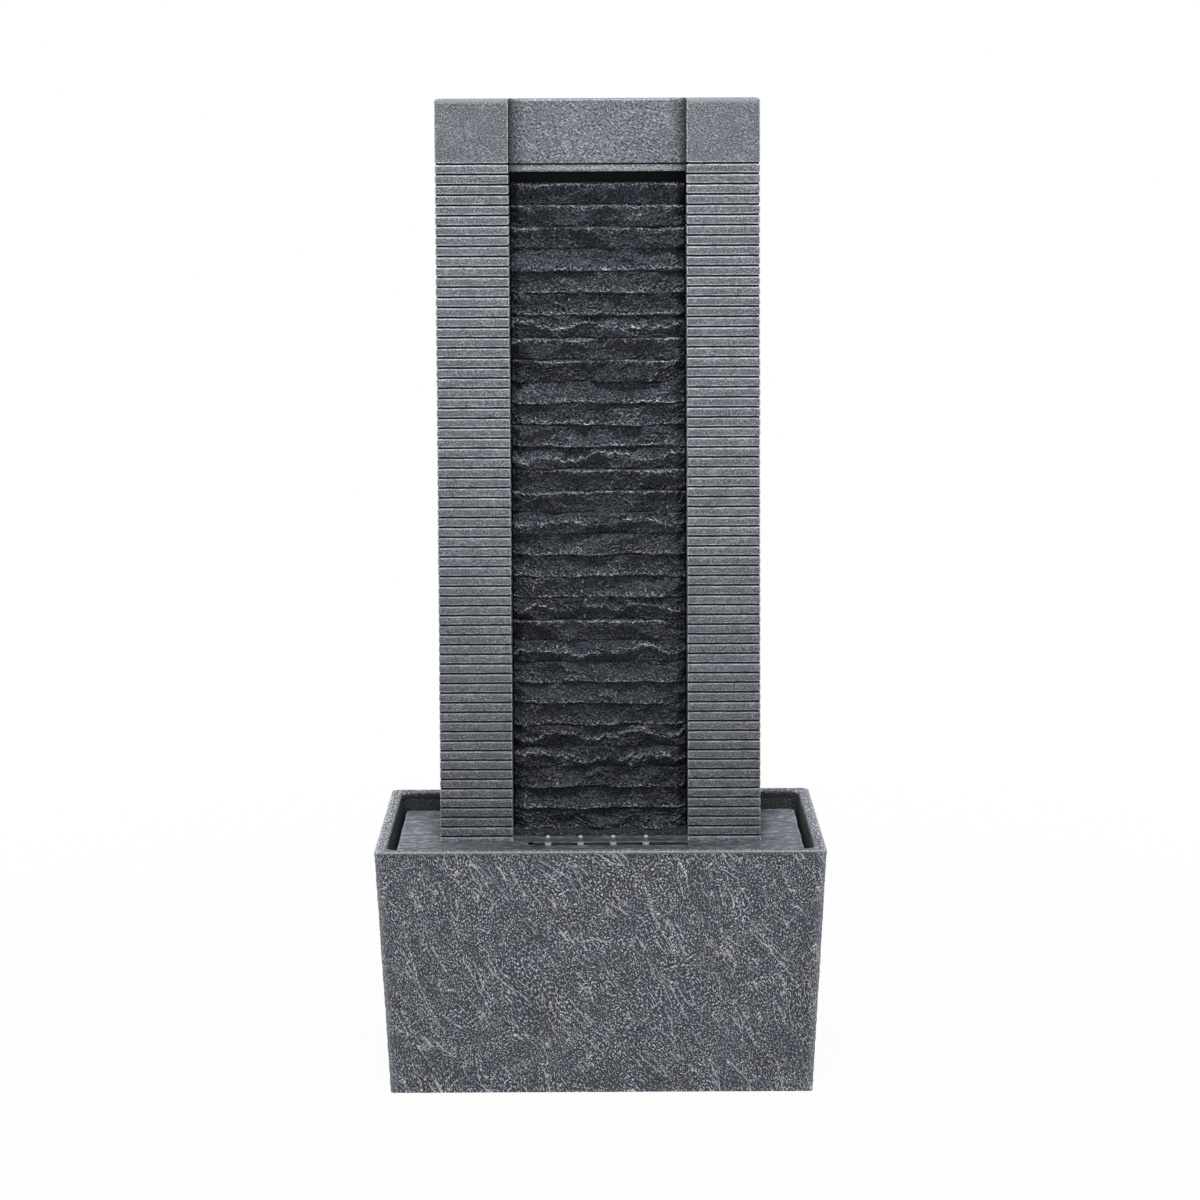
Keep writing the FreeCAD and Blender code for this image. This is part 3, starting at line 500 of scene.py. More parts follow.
lintelLook = dict(towerLook, grainScale=470.0, marksTurn=0.85, marksStretch=(1.5, 1.0, 1.0), grainDepth=1.8,
                  body=grey(124, 13), bodyLight=grey(130, 14), deep=grey(44, 8), deepShare=0.7, paleShare=0.6,
                  bumpDepth=0.0026)
deckLook = dict(towerLook, grainScale=300.0, marksTurn=0.0, marksStretch=(3.0, 0.8, 1.0), grainDepth=1.4,
                body=grey(117, 17), bodyLight=grey(129, 18), deep=grey(74, 11), deepShare=0.7, paleShare=0.6)
stones = {
    "basin": basinStone(basinLook), "pillar": towerStone("slate_pillar", towerLook),
    "ledge": ledgeStone(ledgeLook), "lintel": towerStone("slate_lintel", lintelLook),
    "deck": towerStone("slate_deck", deckLook),
}
print("stone finishes made")


# Basin

basinSizes = {
    "sideTaper": 0.0132, "frontTaper": 0.010, "wall": 0.014, "backWall": 0.019, "floor": 0.014,
    "corner": 0.006, "innerCorner": 0.012, "rimEdge": 0.002, "footRing": 0.026, "footRecess": 0.003,
    "cornerFade": 0.012, "columns": (352, 104, 176, 6),  # on the front, a side, the rear and each corner
    "rowHeight": 0.0016, "innerRatio": 4, "innerRows": 38, "reliefDepth": 0.0024, "flowAngle": -50.0,
    "flowBend": 0.95, "lineHalf": 0.0015, "lineHeight": 0.4, "broadHeight": 0.18, "stairHeight": 0.14,
    # length and width of a ridge, shifts, layers, power, height and what is added where the stone is busy
    "ridges": ((0.060, 0.013, 0, 0, 3, 1.6, 0.30, 0), (0.019, 0.0072, 9, 2, 2, 1.5, 0.32, 0.2),
               (0.0075, 0.0040, 4, 8, 2, 1.3, 0.3, 0.2)),
    # length and width of the fields whose zero lines are drawn, their share, and where they start to show
    "lines": ((0.060, 0.014, 1.0, -0.08), (0.024, 0.010, 0.75, -0.04), (0.013, 0.009, 0.6, 0.0)),
    # drop of each ring, with its distance from the outside or from the inside of the wall
    "outerRim": ((0.0012, 0.0003), (0.0004, 0.0010), (0, 0.0024), (0, 0.005), (0, 0.008)),
    "innerRim": ((0, 0.0024), (0.0003, 0.0012), (0.0010, 0.0004), (0.0024, 0)),
    # painted light and shade on the rim: lighter on the sides, darker at the front and along the inner edge
    "rimShades": (1.28, 0.76, 0.98),  # sides, front and rear
    "rimFall": (1.0, 1.2, 1.2, 1.05, 1.0, 0.95, 0.85, 0.6, 0.6),  # ring by ring, as are the worn shares
    "rimWorn": (0.3, 0.5, 0.3, 0.08, 0.05, 0.1, 0.1, 0, 0), "rimWobble": 0.0006, "rimLump": 0.016,
    "sideWorn": 0.4, "insideShade": 0.75, "sideDarker": 0.45, "insideWorn": 0.12, "insideWave": 0.0006,
    "flowWander": 0.020, "seed": 11,
}


def basinFlow(x, along, up, sizes):
    # distances along and across the cleft of the stone, which steepens towards the right
    grain = Grain(sizes["seed"])
    bentAlong = along + sizes["flowWander"] * grain.layers(along / 0.11, up / 0.11, 2)
    bentUp = up + sizes["flowWander"] * grain.layers(along / 0.11 + 31, up / 0.11 + 7, 2)
    tilt = math.radians(sizes["flowAngle"])
    flow = bentAlong * math.cos(tilt) + bentUp * math.sin(tilt)
    across = -bentAlong * math.sin(tilt) + bentUp * math.cos(tilt)
    return flow, across + sizes["flowBend"] * x * np.abs(x)


def basinRelief(flow, across, along, up, sizes):
    grain = Grain(sizes["seed"] + 5)
    broad = grain.layers(flow / 0.15, across / 0.055, 3)
    # broken steps, where one leaf of the stone ends over the next
    layer = grain.layers(flow / 0.13 + 7, across / 0.036 + 3, 4) * 2.6
    stair = np.floor(layer) + ease(layer - np.floor(layer), 0.80, 0.98)
    height = sizes["broadHeight"] * broad + sizes["stairHeight"] * stair
    busy = ease(grain.layers(along / 0.07 + 3, up / 0.05 + 5, 3), -0.35, 0.3)
    for length, gap, shiftU, shiftV, count, power, share, more in sizes["ridges"]:
        ridges = grain.ridges(flow / length + shiftU, across / gap + shiftV, count) ** power
        height = height + (share + more * busy) * ridges
    lines = 0
    for length, gap, share, sparse in sizes["lines"]:
        field = grain.layers(flow / length + 40 * share, across / gap - 30 * share, 3, 0.4)
        kept = grain.layers(flow / length * 1.3 + 60 * share, across / gap / 2 + 20 * share, 2)
        kept = share * ease(kept, sparse, sparse + 0.2)
        lines = np.maximum(lines, kept * linesOf(field, up[:, 0], along[0], sizes["lineHalf"]))
    height = height + sizes["lineHeight"] * lines
    low, high = np.percentile(height, (0.5, 99.8))
    return np.clip((height - low) / (high - low), 0, 1), lines


def makeBasin(sizes):
    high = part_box("basin")[1]
    halfWidth, halfDepth, top = high.x, high.y, high.z

    def outline(z, inset, backInset, radius):
        share = 1 - z / top
        half = halfWidth - sizes["sideTaper"] * share - inset
        deep = halfDepth - sizes["frontTaper"] * share
        return outlinePoints(-half, half, -deep + inset, deep - backInset, radius, sizes["columns"])

    rows = int(round((top - sizes["rimEdge"]) / sizes["rowHeight"])) + 1
    heights = np.linspace(0, top - sizes["rimEdge"], rows)
    middle = outline(top / 2, 0, 0, sizes["corner"])
    along = lengthsAlong(middle)
    outward = outwardOf(middle)
    grid = np.broadcast_to(along, (rows, len(along)))
    upward = perRow(heights, grid)
    flow, across = basinFlow(np.broadcast_to(middle[:, 0], grid.shape), grid, upward, sizes)
    relief, lines = basinRelief(flow, across, grid, upward, sizes)
    crest = crestOf(relief, 1, wrap=True)

    # The relief fades at the foot, at the rim and towards the upright corners.
    x, y = middle[:, 0], middle[:, 1]
    cornerAway = np.maximum(halfWidth - np.abs(x), halfDepth - np.abs(y)) - sizes["corner"]
    besideCorner = ease(cornerAway, 0.0, sizes["cornerFade"])[None, :]
    belowRim = ease(top - heights, 0.001, 0.008)[:, None]
    overFoot = ease(heights, 0.0, 0.004)[:, None]
    held = (0.25 + 0.75 * besideCorner) * (0.2 + 0.8 * belowRim) * (0.3 + 0.7 * overFoot)
    depth = sizes["reliefDepth"] * (1 - relief) * held
    rings = [level(outline(z, 0, 0, sizes["corner"]) - outward * deep[:, None], z)
             for z, deep in zip(heights, depth)]
    edge = 0.2 * ease(heights, top - 0.0030, top - 0.002)[:, None] + 0.25 * (1 - besideCorner)
    shade = 0.9 + 0.1 * belowRim * besideCorner + 0 * grid
    basin = Skin("basin_shell", flowU=0.0, flowV=0.0, crest=0.5, lines=0.0, worn=1.0, edge=0.0, hollow=0.0,
                 shade=1.0)
    wall = basin.tube(np.array(rings), False, False, crest=crest, flowU=flow, flowV=across, lines=lines,
                      edge=np.broadcast_to(edge, grid.shape), shade=shade)
    lastRow = wall + (rows - 1) * len(along)

    # The rim's worn edges and its top, with painted light on the side rims and painted shade at the front and
    # inner edges, then the inside with fewer points and painted shade, darker on the side walls, down to the
    # floor.
    grain = Grain(sizes["seed"] + 1)
    rim = []
    profile = [(top - drop, inset) for drop, inset in sizes["outerRim"]]
    profile += [(top - drop, sizes["wall"] - back) for drop, back in sizes["innerRim"]]
    for z, inset in profile:
        backInset = inset * sizes["backWall"] / sizes["wall"] if inset > 0.004 else inset
        radius = sizes["corner"] if inset < 0.004 else sizes["innerCorner"] * inset / sizes["wall"]
        ring = outline(z, inset, backInset, max(radius, 0.004))
        wobble = sizes["rimWobble"] * grain.layers(along / sizes["rimLump"], np.full(len(along), inset * 400), 3)
        rim.append(level(ring, z - np.abs(wobble)))
    rim = np.array(rim)
    rimFlow = np.broadcast_to(along, rim.shape[:2])
    rimAcross = np.broadcast_to(np.linspace(0.4, 0.418, len(rim))[:, None], rim.shape[:2])
    side, front, rear = sizes["rimShades"]
    faces = [outward[:, 1] < -0.9, outward[:, 1] > 0.9]
    inward = np.clip(np.arange(len(rim)) - 6.0, 0, 2)[:, None] / 2
    rimShade = np.select(faces, [front, rear], side) * (1 - inward * np.select(faces, [0.8, 0.1], 0.6))
    rimShade = rimShade * np.array(sizes["rimFall"])[:, None]
    onSide = np.abs(outward[:, 0]) > 0.7
    rimEdge = np.array(sizes["rimWorn"])[:, None] * ~faces[1] * np.where(onSide, sizes["sideWorn"], 1.0)
    rimStart = basin.tube(rim, False, False, flowU=rimFlow, flowV=rimAcross, edge=rimEdge, shade=rimShade)
    basin.faces += bridgeFaces(lastRow, len(along), rimStart, len(along))
    lastRim = rimStart + (len(rim) - 1) * len(along)

    ratio = sizes["innerRatio"]
    innerColumns = len(along) // ratio
    inner = []
    for z in np.linspace(top - 0.008, sizes["floor"] + 0.006, sizes["innerRows"]):
        ring = outline(z, sizes["wall"], sizes["backWall"], sizes["innerCorner"])[::ratio]
        wave = sizes["insideWave"] * grain.layers(along[::ratio] / 0.05 + 5, np.full(innerColumns, z / 0.05), 3)
        inner.append(level(ring - outwardOf(ring) * np.abs(wave)[:, None], z))
    for z, more in ((sizes["floor"] + 0.002, 0.001), (sizes["floor"], 0.005)):
        ring = outline(z, sizes["wall"] + more, sizes["backWall"] + more, sizes["innerCorner"])
        inner.append(level(ring[::ratio], z))
    inner = np.array(inner)
    innerShade = sizes["insideShade"] * np.where(onSide[::ratio], sizes["sideDarker"], 1.0)
    innerStart = basin.tube(inner, False, False, flowU=np.broadcast_to(along[::ratio], inner.shape[:2]),
                            flowV=inner[..., 2], crest=0.4, worn=sizes["insideWorn"],
                            shade=innerShade + 0 * inner[..., 2])
    basin.faces += bridgeFaces(lastRim, len(along), innerStart, innerColumns)
    bed = inner[-1]
    basin.add(bed, [list(range(basin.count, basin.count + innerColumns))], flowU=bed[:, 0], flowV=bed[:, 1],
              crest=0.4, worn=sizes["insideWorn"], shade=sizes["insideShade"])

    # Underside: the foot ring and the recess inside it.
    under = []
    for z, inset in ((sizes["footRecess"], sizes["footRing"] + 0.001), (0.0, sizes["footRing"]), (0.0, 0.0015)):
        under.append(level(outline(z, inset, inset, sizes["innerCorner"])[::ratio], z))
    under = np.array(under)
    underStart = basin.tube(under, True, False, flowU=under[..., 0], flowV=under[..., 1])
    basin.faces += bridgeFaces(underStart + 2 * innerColumns, innerColumns, wall, len(along))
    return basin.finish(stones["basin"])


basin = makeBasin(basinSizes)
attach(basin, "basin")
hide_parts("basin")
print("basin made", len(basin.data.polygons))


# Tower: two grooved pillars and the lintel between their heads

towerSizes = {
    "footHalf": 0.1926, "topHalf": 0.187, "nicheFootHalf": 0.105, "nicheTopHalf": 0.1018,
    "groovePitch": 0.01172, "groovePlaces": 69, "topBlock": 0.0743, "grooveHalf": 0.0011, "grooveDepth": 0.0026,
    # place over the half width and share of the depth, at each row of a groove
    "grooveProfile": ((-2.6, 0.0), (-1.45, 0.06), (-0.9, 0.55), (-0.4, 1.0), (0.4, 1.0), (0.9, 0.55),
                      (1.45, 0.06), (2.6, 0.0)),
    # drop and inset of the rings that round the top
    "crown": ((0.0036, 0.0003), (0.0022, 0.0010), (0.0010, 0.0021), (0.0003, 0.0036), (0.0, 0.0055),
              (0.0, 0.014)),
    "arris": 0.005, "blockRow": 0.0022, "columns": (48, 34, 8, 3), "corner": 0.0016, "wobble": 0.00035,
    "flare": 0.0012, "chip": 0.0007, "barLean": 0.00022, "pits": 0.00022, "swell": 0.0003,
    "lipShade": 0.55, "lipRise": 0.35, "arrisShade": 0.75, "barShade": 0.16, "shadeBelow": 0.28, "topShade": 0.6,
    "seed": 23,
}
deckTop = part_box("pillar_left")[0].z
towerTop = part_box("pillar_left")[1].z
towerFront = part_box("pillar_left")[0].y
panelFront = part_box("pillar_left")[1].y


def tapered(foot, head, z):
    return foot + (head - foot) * (z - deckTop) / (towerTop - deckTop)


def makePillar(side, sizes):
    first = towerTop - sizes["topBlock"] - sizes["groovePitch"] * (sizes["groovePlaces"] - 1)
    levels = [(deckTop, 0.0, -1.0), (deckTop + 0.002, 0.0, -1.0)]  # height, share of the groove and its number
    for index in range(sizes["groovePlaces"]):
        middle = first + sizes["groovePitch"] * index
        levels += [(middle + offset * sizes["grooveHalf"], share, index)
                   for offset, share in sizes["grooveProfile"]]
        levels.append((middle + sizes["groovePitch"] / 2, 0.0, index + 0.5))
    levels += [(z, 0.0, -1.0) for z in np.arange(middle + 0.008, towerTop - sizes["arris"], sizes["blockRow"])]
    heights, shares, index = np.array(levels, float).T
    grain = Grain(sizes["seed"] + side)

    def outline(z, inset):
        inner = tapered(sizes["nicheFootHalf"], sizes["nicheTopHalf"], z) + inset
        outer = tapered(sizes["footHalf"], sizes["topHalf"], z) - inset
        x0, x1 = (inner, outer) if side > 0 else (-outer, -inner)
        return outlinePoints(x0, x1, towerFront + inset, panelFront, sizes["corner"], sizes["columns"])

    middleRing = outline((deckTop + towerTop) / 2, 0)
    along = lengthsAlong(middleRing)
    outward = outwardOf(middleRing)
    grid = np.broadcast_to(along, (len(levels), len(along)))
    upward, place, grooveShare = perRow(heights, grid), perRow(index, grid), perRow(shares, grid)
    onGroove = (place >= 0) & (place == np.floor(place))
    wobble = sizes["wobble"] * grain.layers(grid / 0.022, place * 7.31, 3) * np.where(onGroove, 1, 0.3)
    wander = 1 + 0.25 * grain.layers(grid / 0.03 + 9, place * 3.7 + 5, 2)

    # The grooves' lips are chipped, and each bar between two grooves stands a little in or out.
    groove = grooveShare * sizes["grooveDepth"] * wander
    lip = np.where(onGroove & (np.abs(grooveShare - 0.06) < 0.05), 1.0, 0.0)
    chips = lip * sizes["chip"] * np.clip(grain.layers(grid / 0.006, place * 11.3 + upward * 90, 2) - 0.15, 0, 1)
    lean = sizes["barLean"] * grain.layers(place * 5.17 + 3, place * 0 + 2.2, 1)
    surface = sizes["pits"] * (grain.layers(grid / 0.010, upward / 0.010, 3) - 0.5)
    surface = surface + sizes["swell"] * (grain.layers(grid / 0.05, upward / 0.06, 2) - 1)
    onRear = (outward[:, 1] > 0.9)[None, :]
    depth = np.where(onRear, 0, groove + chips + np.abs(lean) - np.minimum(surface, 0))

    rings = []
    for row, z in enumerate(heights):
        flare = sizes["flare"] * (1 - ease(z, deckTop, deckTop + 0.004))
        ring = outline(z, 0) - outward * (depth[row] - flare)[:, None]
        rings.append(level(ring, z + wobble[row] * (row > 0)))
    rings += [level(outline(towerTop - drop, inset), towerTop - drop) for drop, inset in sizes["crown"]]
    crown = np.ones((len(sizes["crown"]), len(along)))

    # Lips and arrises are brushed pale, with a painted highlight growing higher up; painted shade darkens the
    # grooves, the lower pillar and the top face.
    worn = 0.5 + 0.9 * grain.layers(grid / 0.012, upward / 0.012, 2)
    arris = ((np.abs(outward[:, 0] * outward[:, 1]) > 0.2) & (outward[:, 1] < 0))[None, :]
    lit = sizes["lipShade"] + sizes["lipRise"] * ease(upward, 0.45, 0.95)
    edge = lit * lip * (0.5 + worn) + sizes["arrisShade"] * arris * (1 - grooveShare) * (0.6 + 0.4 * worn)
    edge = np.clip(edge, 0, 1)
    shade = 1 + sizes["barShade"] * grain.layers(place * 4.3, place * 0 + 8.8, 1)
    shade = shade + sizes["shadeBelow"] * (ease(upward, 0.2, 0.75) - 0.9)
    edge = np.concatenate([edge, 0.5 * crown])
    hollow = np.concatenate([grooveShare, 0 * crown])
    shade = np.concatenate([shade, sizes["topShade"] * crown])
    name = "pillar_left" if side < 0 else "pillar_right"
    pillar = Skin(name + "_stone", edge=0.0, hollow=0.0, shade=1.0)
    pillar.tube(np.array(rings), edge=edge, hollow=hollow, shade=shade)
    piece = pillar.finish(stones["pillar"])
    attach(piece, "tower")
    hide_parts(name)
    return piece


pillars = [makePillar(side, towerSizes) for side in (-1, 1)]
print("pillars made", len(pillars[0].data.polygons))


lintelSizes = {
    "setback": 0.012, "thickness": 0.015, "cove": 0.012, "lip": 0.0084, "lid": 0.012, "gap": 0.00015,
    "grooveHalf": 0.0010, "grooveDepth": 0.0026, "grooveRows": (-1.4, -0.8, -0.3, 0.3, 0.8, 1.4),
    "columns": 140, "rearColumns": 15, "rowHeight": 0.0016, "pitDepth": 0.0006,
    "reliefShares": (0.55, 0.9, 0.35),  # of the marks, the pits and the slow unevenness
    "coveShadow": 0.022, "coveDarker": 0.78, "topEdge": 0.4, "footEdge": 0.25, "seed": 37,
}


def makeLintel(sizes):
    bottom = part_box("lintel")[0].z
    half = towerSizes["nicheTopHalf"] - sizes["gap"]
    face = towerFront + sizes["setback"]
    shoulder = face - sizes["cove"]
    grain = Grain(sizes["seed"])

    # The face lies level between two coves, which meet the pillars.
    turn = np.linspace(0, math.pi / 2, 9)
    across = np.linspace(-half + sizes["cove"], half - sizes["cove"], sizes["columns"])[1:-1]
    arc = np.column_stack([-half + sizes["cove"] * (1 - np.cos(turn)), shoulder + sizes["cove"] * np.sin(turn)])
    front = np.concatenate([arc, np.column_stack([across, np.full(len(across), face)]), arc[::-1] * (-1, 1)])
    grooveZ = bottom + sizes["lip"]
    rows = [bottom, bottom + 0.0015, bottom + 0.004]
    rows += [grooveZ + place * sizes["grooveHalf"] for place in sizes["grooveRows"]]
    rows += list(np.arange(grooveZ + 0.004, towerTop - 0.0035, sizes["rowHeight"]))
    rows += [towerTop - 0.0018, towerTop - 0.0007, towerTop]
    rows = np.array(rows)
    bends = [bottom, bottom + 0.0015, towerTop - 0.0034, towerTop - 0.0018, towerTop - 0.0007, towerTop]
    inset = np.interp(rows, bends, [0.0008, 0, 0, 0.0004, 0.0014, 0.003])
    grooveShare = ease(1.4 - np.abs(rows - grooveZ) / sizes["grooveHalf"], 0, 0.9)
    grid = np.broadcast_to(front[:, 0], (len(rows), len(front)))
    upward = perRow(rows, grid)
    marks = grain.ridges((grid + upward) / 0.011, (grid - upward) / 0.005, 2)
    pits = np.clip(grain.layers(grid / 0.0055, upward / 0.0055, 2) + 0.1, 0, 1)
    marked, pitted, uneven = sizes["reliefShares"]
    relief = marked * marks + pitted * (1 - pits) + uneven * grain.layers(grid / 0.04, upward / 0.03, 2)
    relief = (relief - relief.min()) / np.ptp(relief)
    groove = sizes["grooveDepth"] * grooveShare[:, None] * (1 + 0.2 * grain.layers(grid / 0.03, upward * 0 + 4, 2))
    depth = sizes["pitDepth"] * (1 - relief) + groove + inset[:, None]

    # A thin wall, with a lid at its top that reaches back to the panel.
    rear = face + sizes["thickness"]
    lidBottom = towerTop - sizes["lid"]
    lidRows = [lidBottom + 0.0001] + [z for z in rows if z > lidBottom + 0.0002]
    wallRows = [z for z in rows if z < lidBottom - 0.0002] + [lidBottom]
    rearShares = np.linspace(1, -1, sizes["rearColumns"])

    def ringAt(z, rearY):
        deep = np.array([np.interp(z, rows, depth[:, column]) for column in range(len(front))])
        out = front + np.column_stack([np.zeros(len(front)), deep])
        back = np.column_stack([rearShares * half, np.full(len(rearShares), rearY)])
        return level(np.concatenate([out, back]), z)

    rings = [ringAt(z, rear) for z in wallRows] + [ringAt(z, panelFront) for z in lidRows]
    centre = rings[-1].mean(0)
    rings = np.array(rings + [centre + (rings[-1] - centre) * (0.97, 0.8, 1.0)])
    # Painted shadow darkens the coves towards the pillars; painted shade darkens the groove and the top face.
    ends = 1 - np.clip((half - np.abs(rings[..., 0])) / sizes["coveShadow"], 0, 1)
    onTop = rings[..., 2] > towerTop - 0.0012
    ends = ends * ~onTop
    hollow = 0.85 * np.interp(wallRows + lidRows + [towerTop], rows, grooveShare)
    edge = np.zeros(rings.shape[:2])
    edge[-4:] = sizes["topEdge"]
    edge[:3] = sizes["footEdge"]
    topShade = np.where(onTop, towerSizes["topShade"], 1.0)
    lintel = Skin("lintel_stone", edge=0.0, hollow=0.0, shade=1.0)
    shade = topShade * (1 - sizes["coveDarker"] * ends ** 1.2)
    lintel.tube(rings, edge=edge, hollow=perRow(hollow, edge), shade=shade)
    return lintel.finish(stones["lintel"])


lintel = makeLintel(lintelSizes)
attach(lintel, "tower")
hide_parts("lintel")
print("lintel made", len(lintel.data.polygons))


# Ledge wall: thirty courses of split stone on a slab

ledgeSizes = {
    "crests": "tttbbbmttbbbmttmbbbmtmbbbmmbbb", "plinth": 0.005, "rowsEach": 22, "columns": 140,
    "slabFront": 0.052, "slabThickness": 0.012, "face": 0.0272, "stand": 0.0125, "jointDepth": 0.0016,
    "endGap": 0.0015, "endFade": 0.011, "endDepth": 0.010, "facets": 7, "gap": 0.00015, "topLight": 2.0,
    "shadeBelow": 0.30, "lineHalf": 0.0014, "bend": 0.0045, "jointHollow": 0.75, "underHollow": 0.2, "endDarker": 0.35,
    "jointDarker": 0.12, "seed": 52,
    "heights": (0.54, 0.20, 0.13, 0.20, 0.12),  # of the body, scoops, lumps, crumbs and scratches
    # for each letter of the crests: the crest's usual height in its course, and its swing
    "t": (0.93, 0.14), "m": (0.52, 0.45), "b": (0.08, 0.14),
    # lift, setback and roughness of the plinth's rows
    "plinthRows": ((0, 0, 0), (0.0035, 0, 0.0004), (0.0048, 0.0012, 0.0006), (0.0058, 0.004, 0.0007),
                   (0.0066, 0.0075, 0.0008)),
}


def courseRelief(course, kind, x, rise, pitch, sizes):
    # how far the split face stands out, its gap to the crest line and to the ridges between facets
    grain = Grain(sizes["seed"] + course)
    draw = np.random.default_rng(sizes["seed"] * 100 + course)
    usual, swing = sizes[kind]
    line = usual + swing * 1.5 * grain.layers(x / 0.050, x * 0 + 3.3, 4, 0.6)
    line = np.clip(line + 0.05 * grain.layers(x / 0.007, x * 0 + 1.7, 2), 0.02, 0.98)
    above = np.clip((rise - line) / (1.02 - line), 0, 1)
    below = np.clip((line - rise) / (line + 0.02), 0, 1)
    fall = draw.uniform(0.45, 0.75)
    body = 1 - fall * above ** 0.85 - fall * below ** 0.85
    up = rise * pitch
    bentX = x + sizes["bend"] * grain.layers(x / 0.020, up / 0.014, 3)
    bentUp = up + sizes["bend"] * grain.layers(x / 0.020 + 9, up / 0.014 + 4, 3)

    # Each point belongs to the nearest of a few leaning facets, and stands higher away from its middle.
    count = sizes["facets"]
    reach = np.abs(x).max()
    places = np.linspace(-reach, reach, count) + draw.uniform(-0.012, 0.012, count)
    lifts = draw.uniform(-0.15, 1.15, count) * pitch
    lean = draw.uniform(-0.7, 0.7, count)
    gaps = [np.hypot((bentX - place + slope * (bentUp - lift)) * 0.8, (bentUp - lift) * 1.1)
            for place, lift, slope in zip(places, lifts, lean)]
    gaps = np.sort(np.array(gaps), 0)
    scoop = np.clip(gaps[0] / 0.016, 0, 1.5) ** 2
    lumps = grain.layers(x / 0.014 + 2, up / 0.011, 3)
    crumbs = grain.ridges((x + up) / 0.0075, (up - 0.6 * x) / 0.0045 + 3, 2)

    # Thin scratches all lean one way on a course.
    lean = 0.8 * np.sign(draw.uniform(-1, 1))
    field = grain.layers((x + lean * up) / 0.020, (up - lean * x) / 0.008, 2)
    scratches = linesOf(field, up[:, 0], x[0], sizes["lineHalf"])
    scratches = scratches * ease(grain.layers(x / 0.030 + 6, up / 0.020, 2), -0.2, 0.3)
    parts = (body, scoop, lumps, crumbs, scratches)
    height = sum(share * part for share, part in zip(sizes["heights"], parts))
    return height, (rise - line) * pitch, gaps[1] - gaps[0], scratches


def makeLedgeWall(sizes):
    low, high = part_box("ledge_wall")
    top = high.z
    slabY = towerFront + sizes["slabFront"]
    rearY = slabY + sizes["slabThickness"]
    faceY, plinthY = towerFront + sizes["face"], low.y
    bottom = deckTop + sizes["plinth"]
    courses = sizes["crests"][::-1]
    pitch = (top - bottom) / len(courses)
    wander = Grain(sizes["seed"] + 900)
    shares = (np.arange(sizes["rowsEach"]) + 0.5) / sizes["rowsEach"]
    reach = towerSizes["nicheTopHalf"] - sizes["endGap"]
    columns = np.linspace(-reach, reach, sizes["columns"])
    flat = np.ones_like(columns)
    rows = []  # height, face, gaps to the crest and a facet ridge, crest, hollow, shade and lines

    def jointAt(course):  # the wandering line between two courses
        free = 0 < course < len(courses)
        return bottom + pitch * course + free * 0.0013 * wander.layers(columns / 0.06, flat * course * 3.9, 3)

    # Plinth under the lowest course: a rough strip, darkened by painted shade, that meets the deck.
    for lift, setback, rough in sizes["plinthRows"]:
        wave = rough * wander.layers(columns / 0.007, flat * lift * 900, 2)
        rows.append((deckTop + lift, plinthY + setback + np.abs(wave), 1, 1, 0.5, 0, 0.50 - 20 * lift, 0))
    ends = 1 - ease(reach - np.abs(columns), 0.0, sizes["endFade"])
    for course, kind in enumerate(courses):
        grid = np.broadcast_to(columns, (len(shares), len(columns)))
        share = perRow(shares, grid)
        relief, crestGap, facetGap, scratches = courseRelief(course, kind, grid, share, pitch, sizes)
        floor, peak = np.percentile(relief, (1, 99.5))
        relief = np.clip((relief - floor) / (peak - floor), 0, 1.05)
        crest = crestOf(relief, 1)
        joint = 1 - ease(np.minimum(share, 1 - share), 0.0, 0.045)
        ragged = ends * (0.75 + 0.5 * wander.layers(grid / 0.006, (course + share) * 4.1, 2))
        y = faceY + sizes["stand"] * (1 - relief) + sizes["jointDepth"] * joint + sizes["endDepth"] * ragged
        lower, upper = jointAt(course), jointAt(course + 1)
        z = np.maximum(lower + (upper - lower) * share, deckTop + 0.0072)
        # Painted shade at the course ends, where the stone is also darker, in the joints and under each crest;
        # painted light on the top course, and painted shade lower down.
        shade = 1 - sizes["endDarker"] * ends - sizes["jointDarker"] * joint
        shade = shade * (1 + sizes["topLight"] * np.exp((z - top) / 0.008))
        shade = shade * (1 - sizes["shadeBelow"] * (1 - ease(z, 0.2, 0.95)))
        hollow = sizes["jointHollow"] * joint + sizes["underHollow"] * ease(crestGap, 0.001, -0.006)
        y = np.minimum(y, slabY - 0.0006)
        rows += zip(z, y, crestGap / 0.005, facetGap / 0.005, crest, hollow, shade, scratches)
    # the wall's top face, made brighter with painted light
    rows.append((top, slabY - 0.002, 1, 1, 0.6, 0, 3, 0))

    rings, values = [], []
    for number, row in enumerate(rows):
        z, y, *given = [value * flat for value in row]
        niche = tapered(towerSizes["nicheFootHalf"], towerSizes["nicheTopHalf"], z.mean()) - sizes["gap"]
        x = columns * (niche - sizes["endGap"]) / reach
        onPlinth = number < len(sizes["plinthRows"])
        back = y[[0, -1]] + 0.002 if onPlinth else np.array([slabY, slabY])
        left = [(-niche, rearY, z[0]), (-niche, back[0], z[0])]
        right = [(niche, back[1], z[-1]), (niche, rearY, z[-1])]
        rings.append(np.concatenate([left, np.column_stack([x, y, z]), right]))
        values.append([np.pad(value, 2, mode="edge") for value in given])
    rings = np.array(rings)
    rings[..., 2] = np.minimum(rings[..., 2], top)
    names = ("crestGap", "facetGap", "crest", "hollow", "shade", "lines")
    ledge = Skin("ledge_wall_stone", **dict.fromkeys(names, 1.0), edge=0.0)
    ledge.tube(rings, **dict(zip(names, np.moveaxis(np.array(values), 1, 0))))
    return ledge.finish(stones["ledge"], 60)


ledgeWall = makeLedgeWall(ledgeSizes)
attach(ledgeWall, "tower")
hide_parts("ledge_wall")
print("ledge wall made", len(ledgeWall.data.polygons))


# Deck: the stone lid that carries the tower, with the drain slot in front

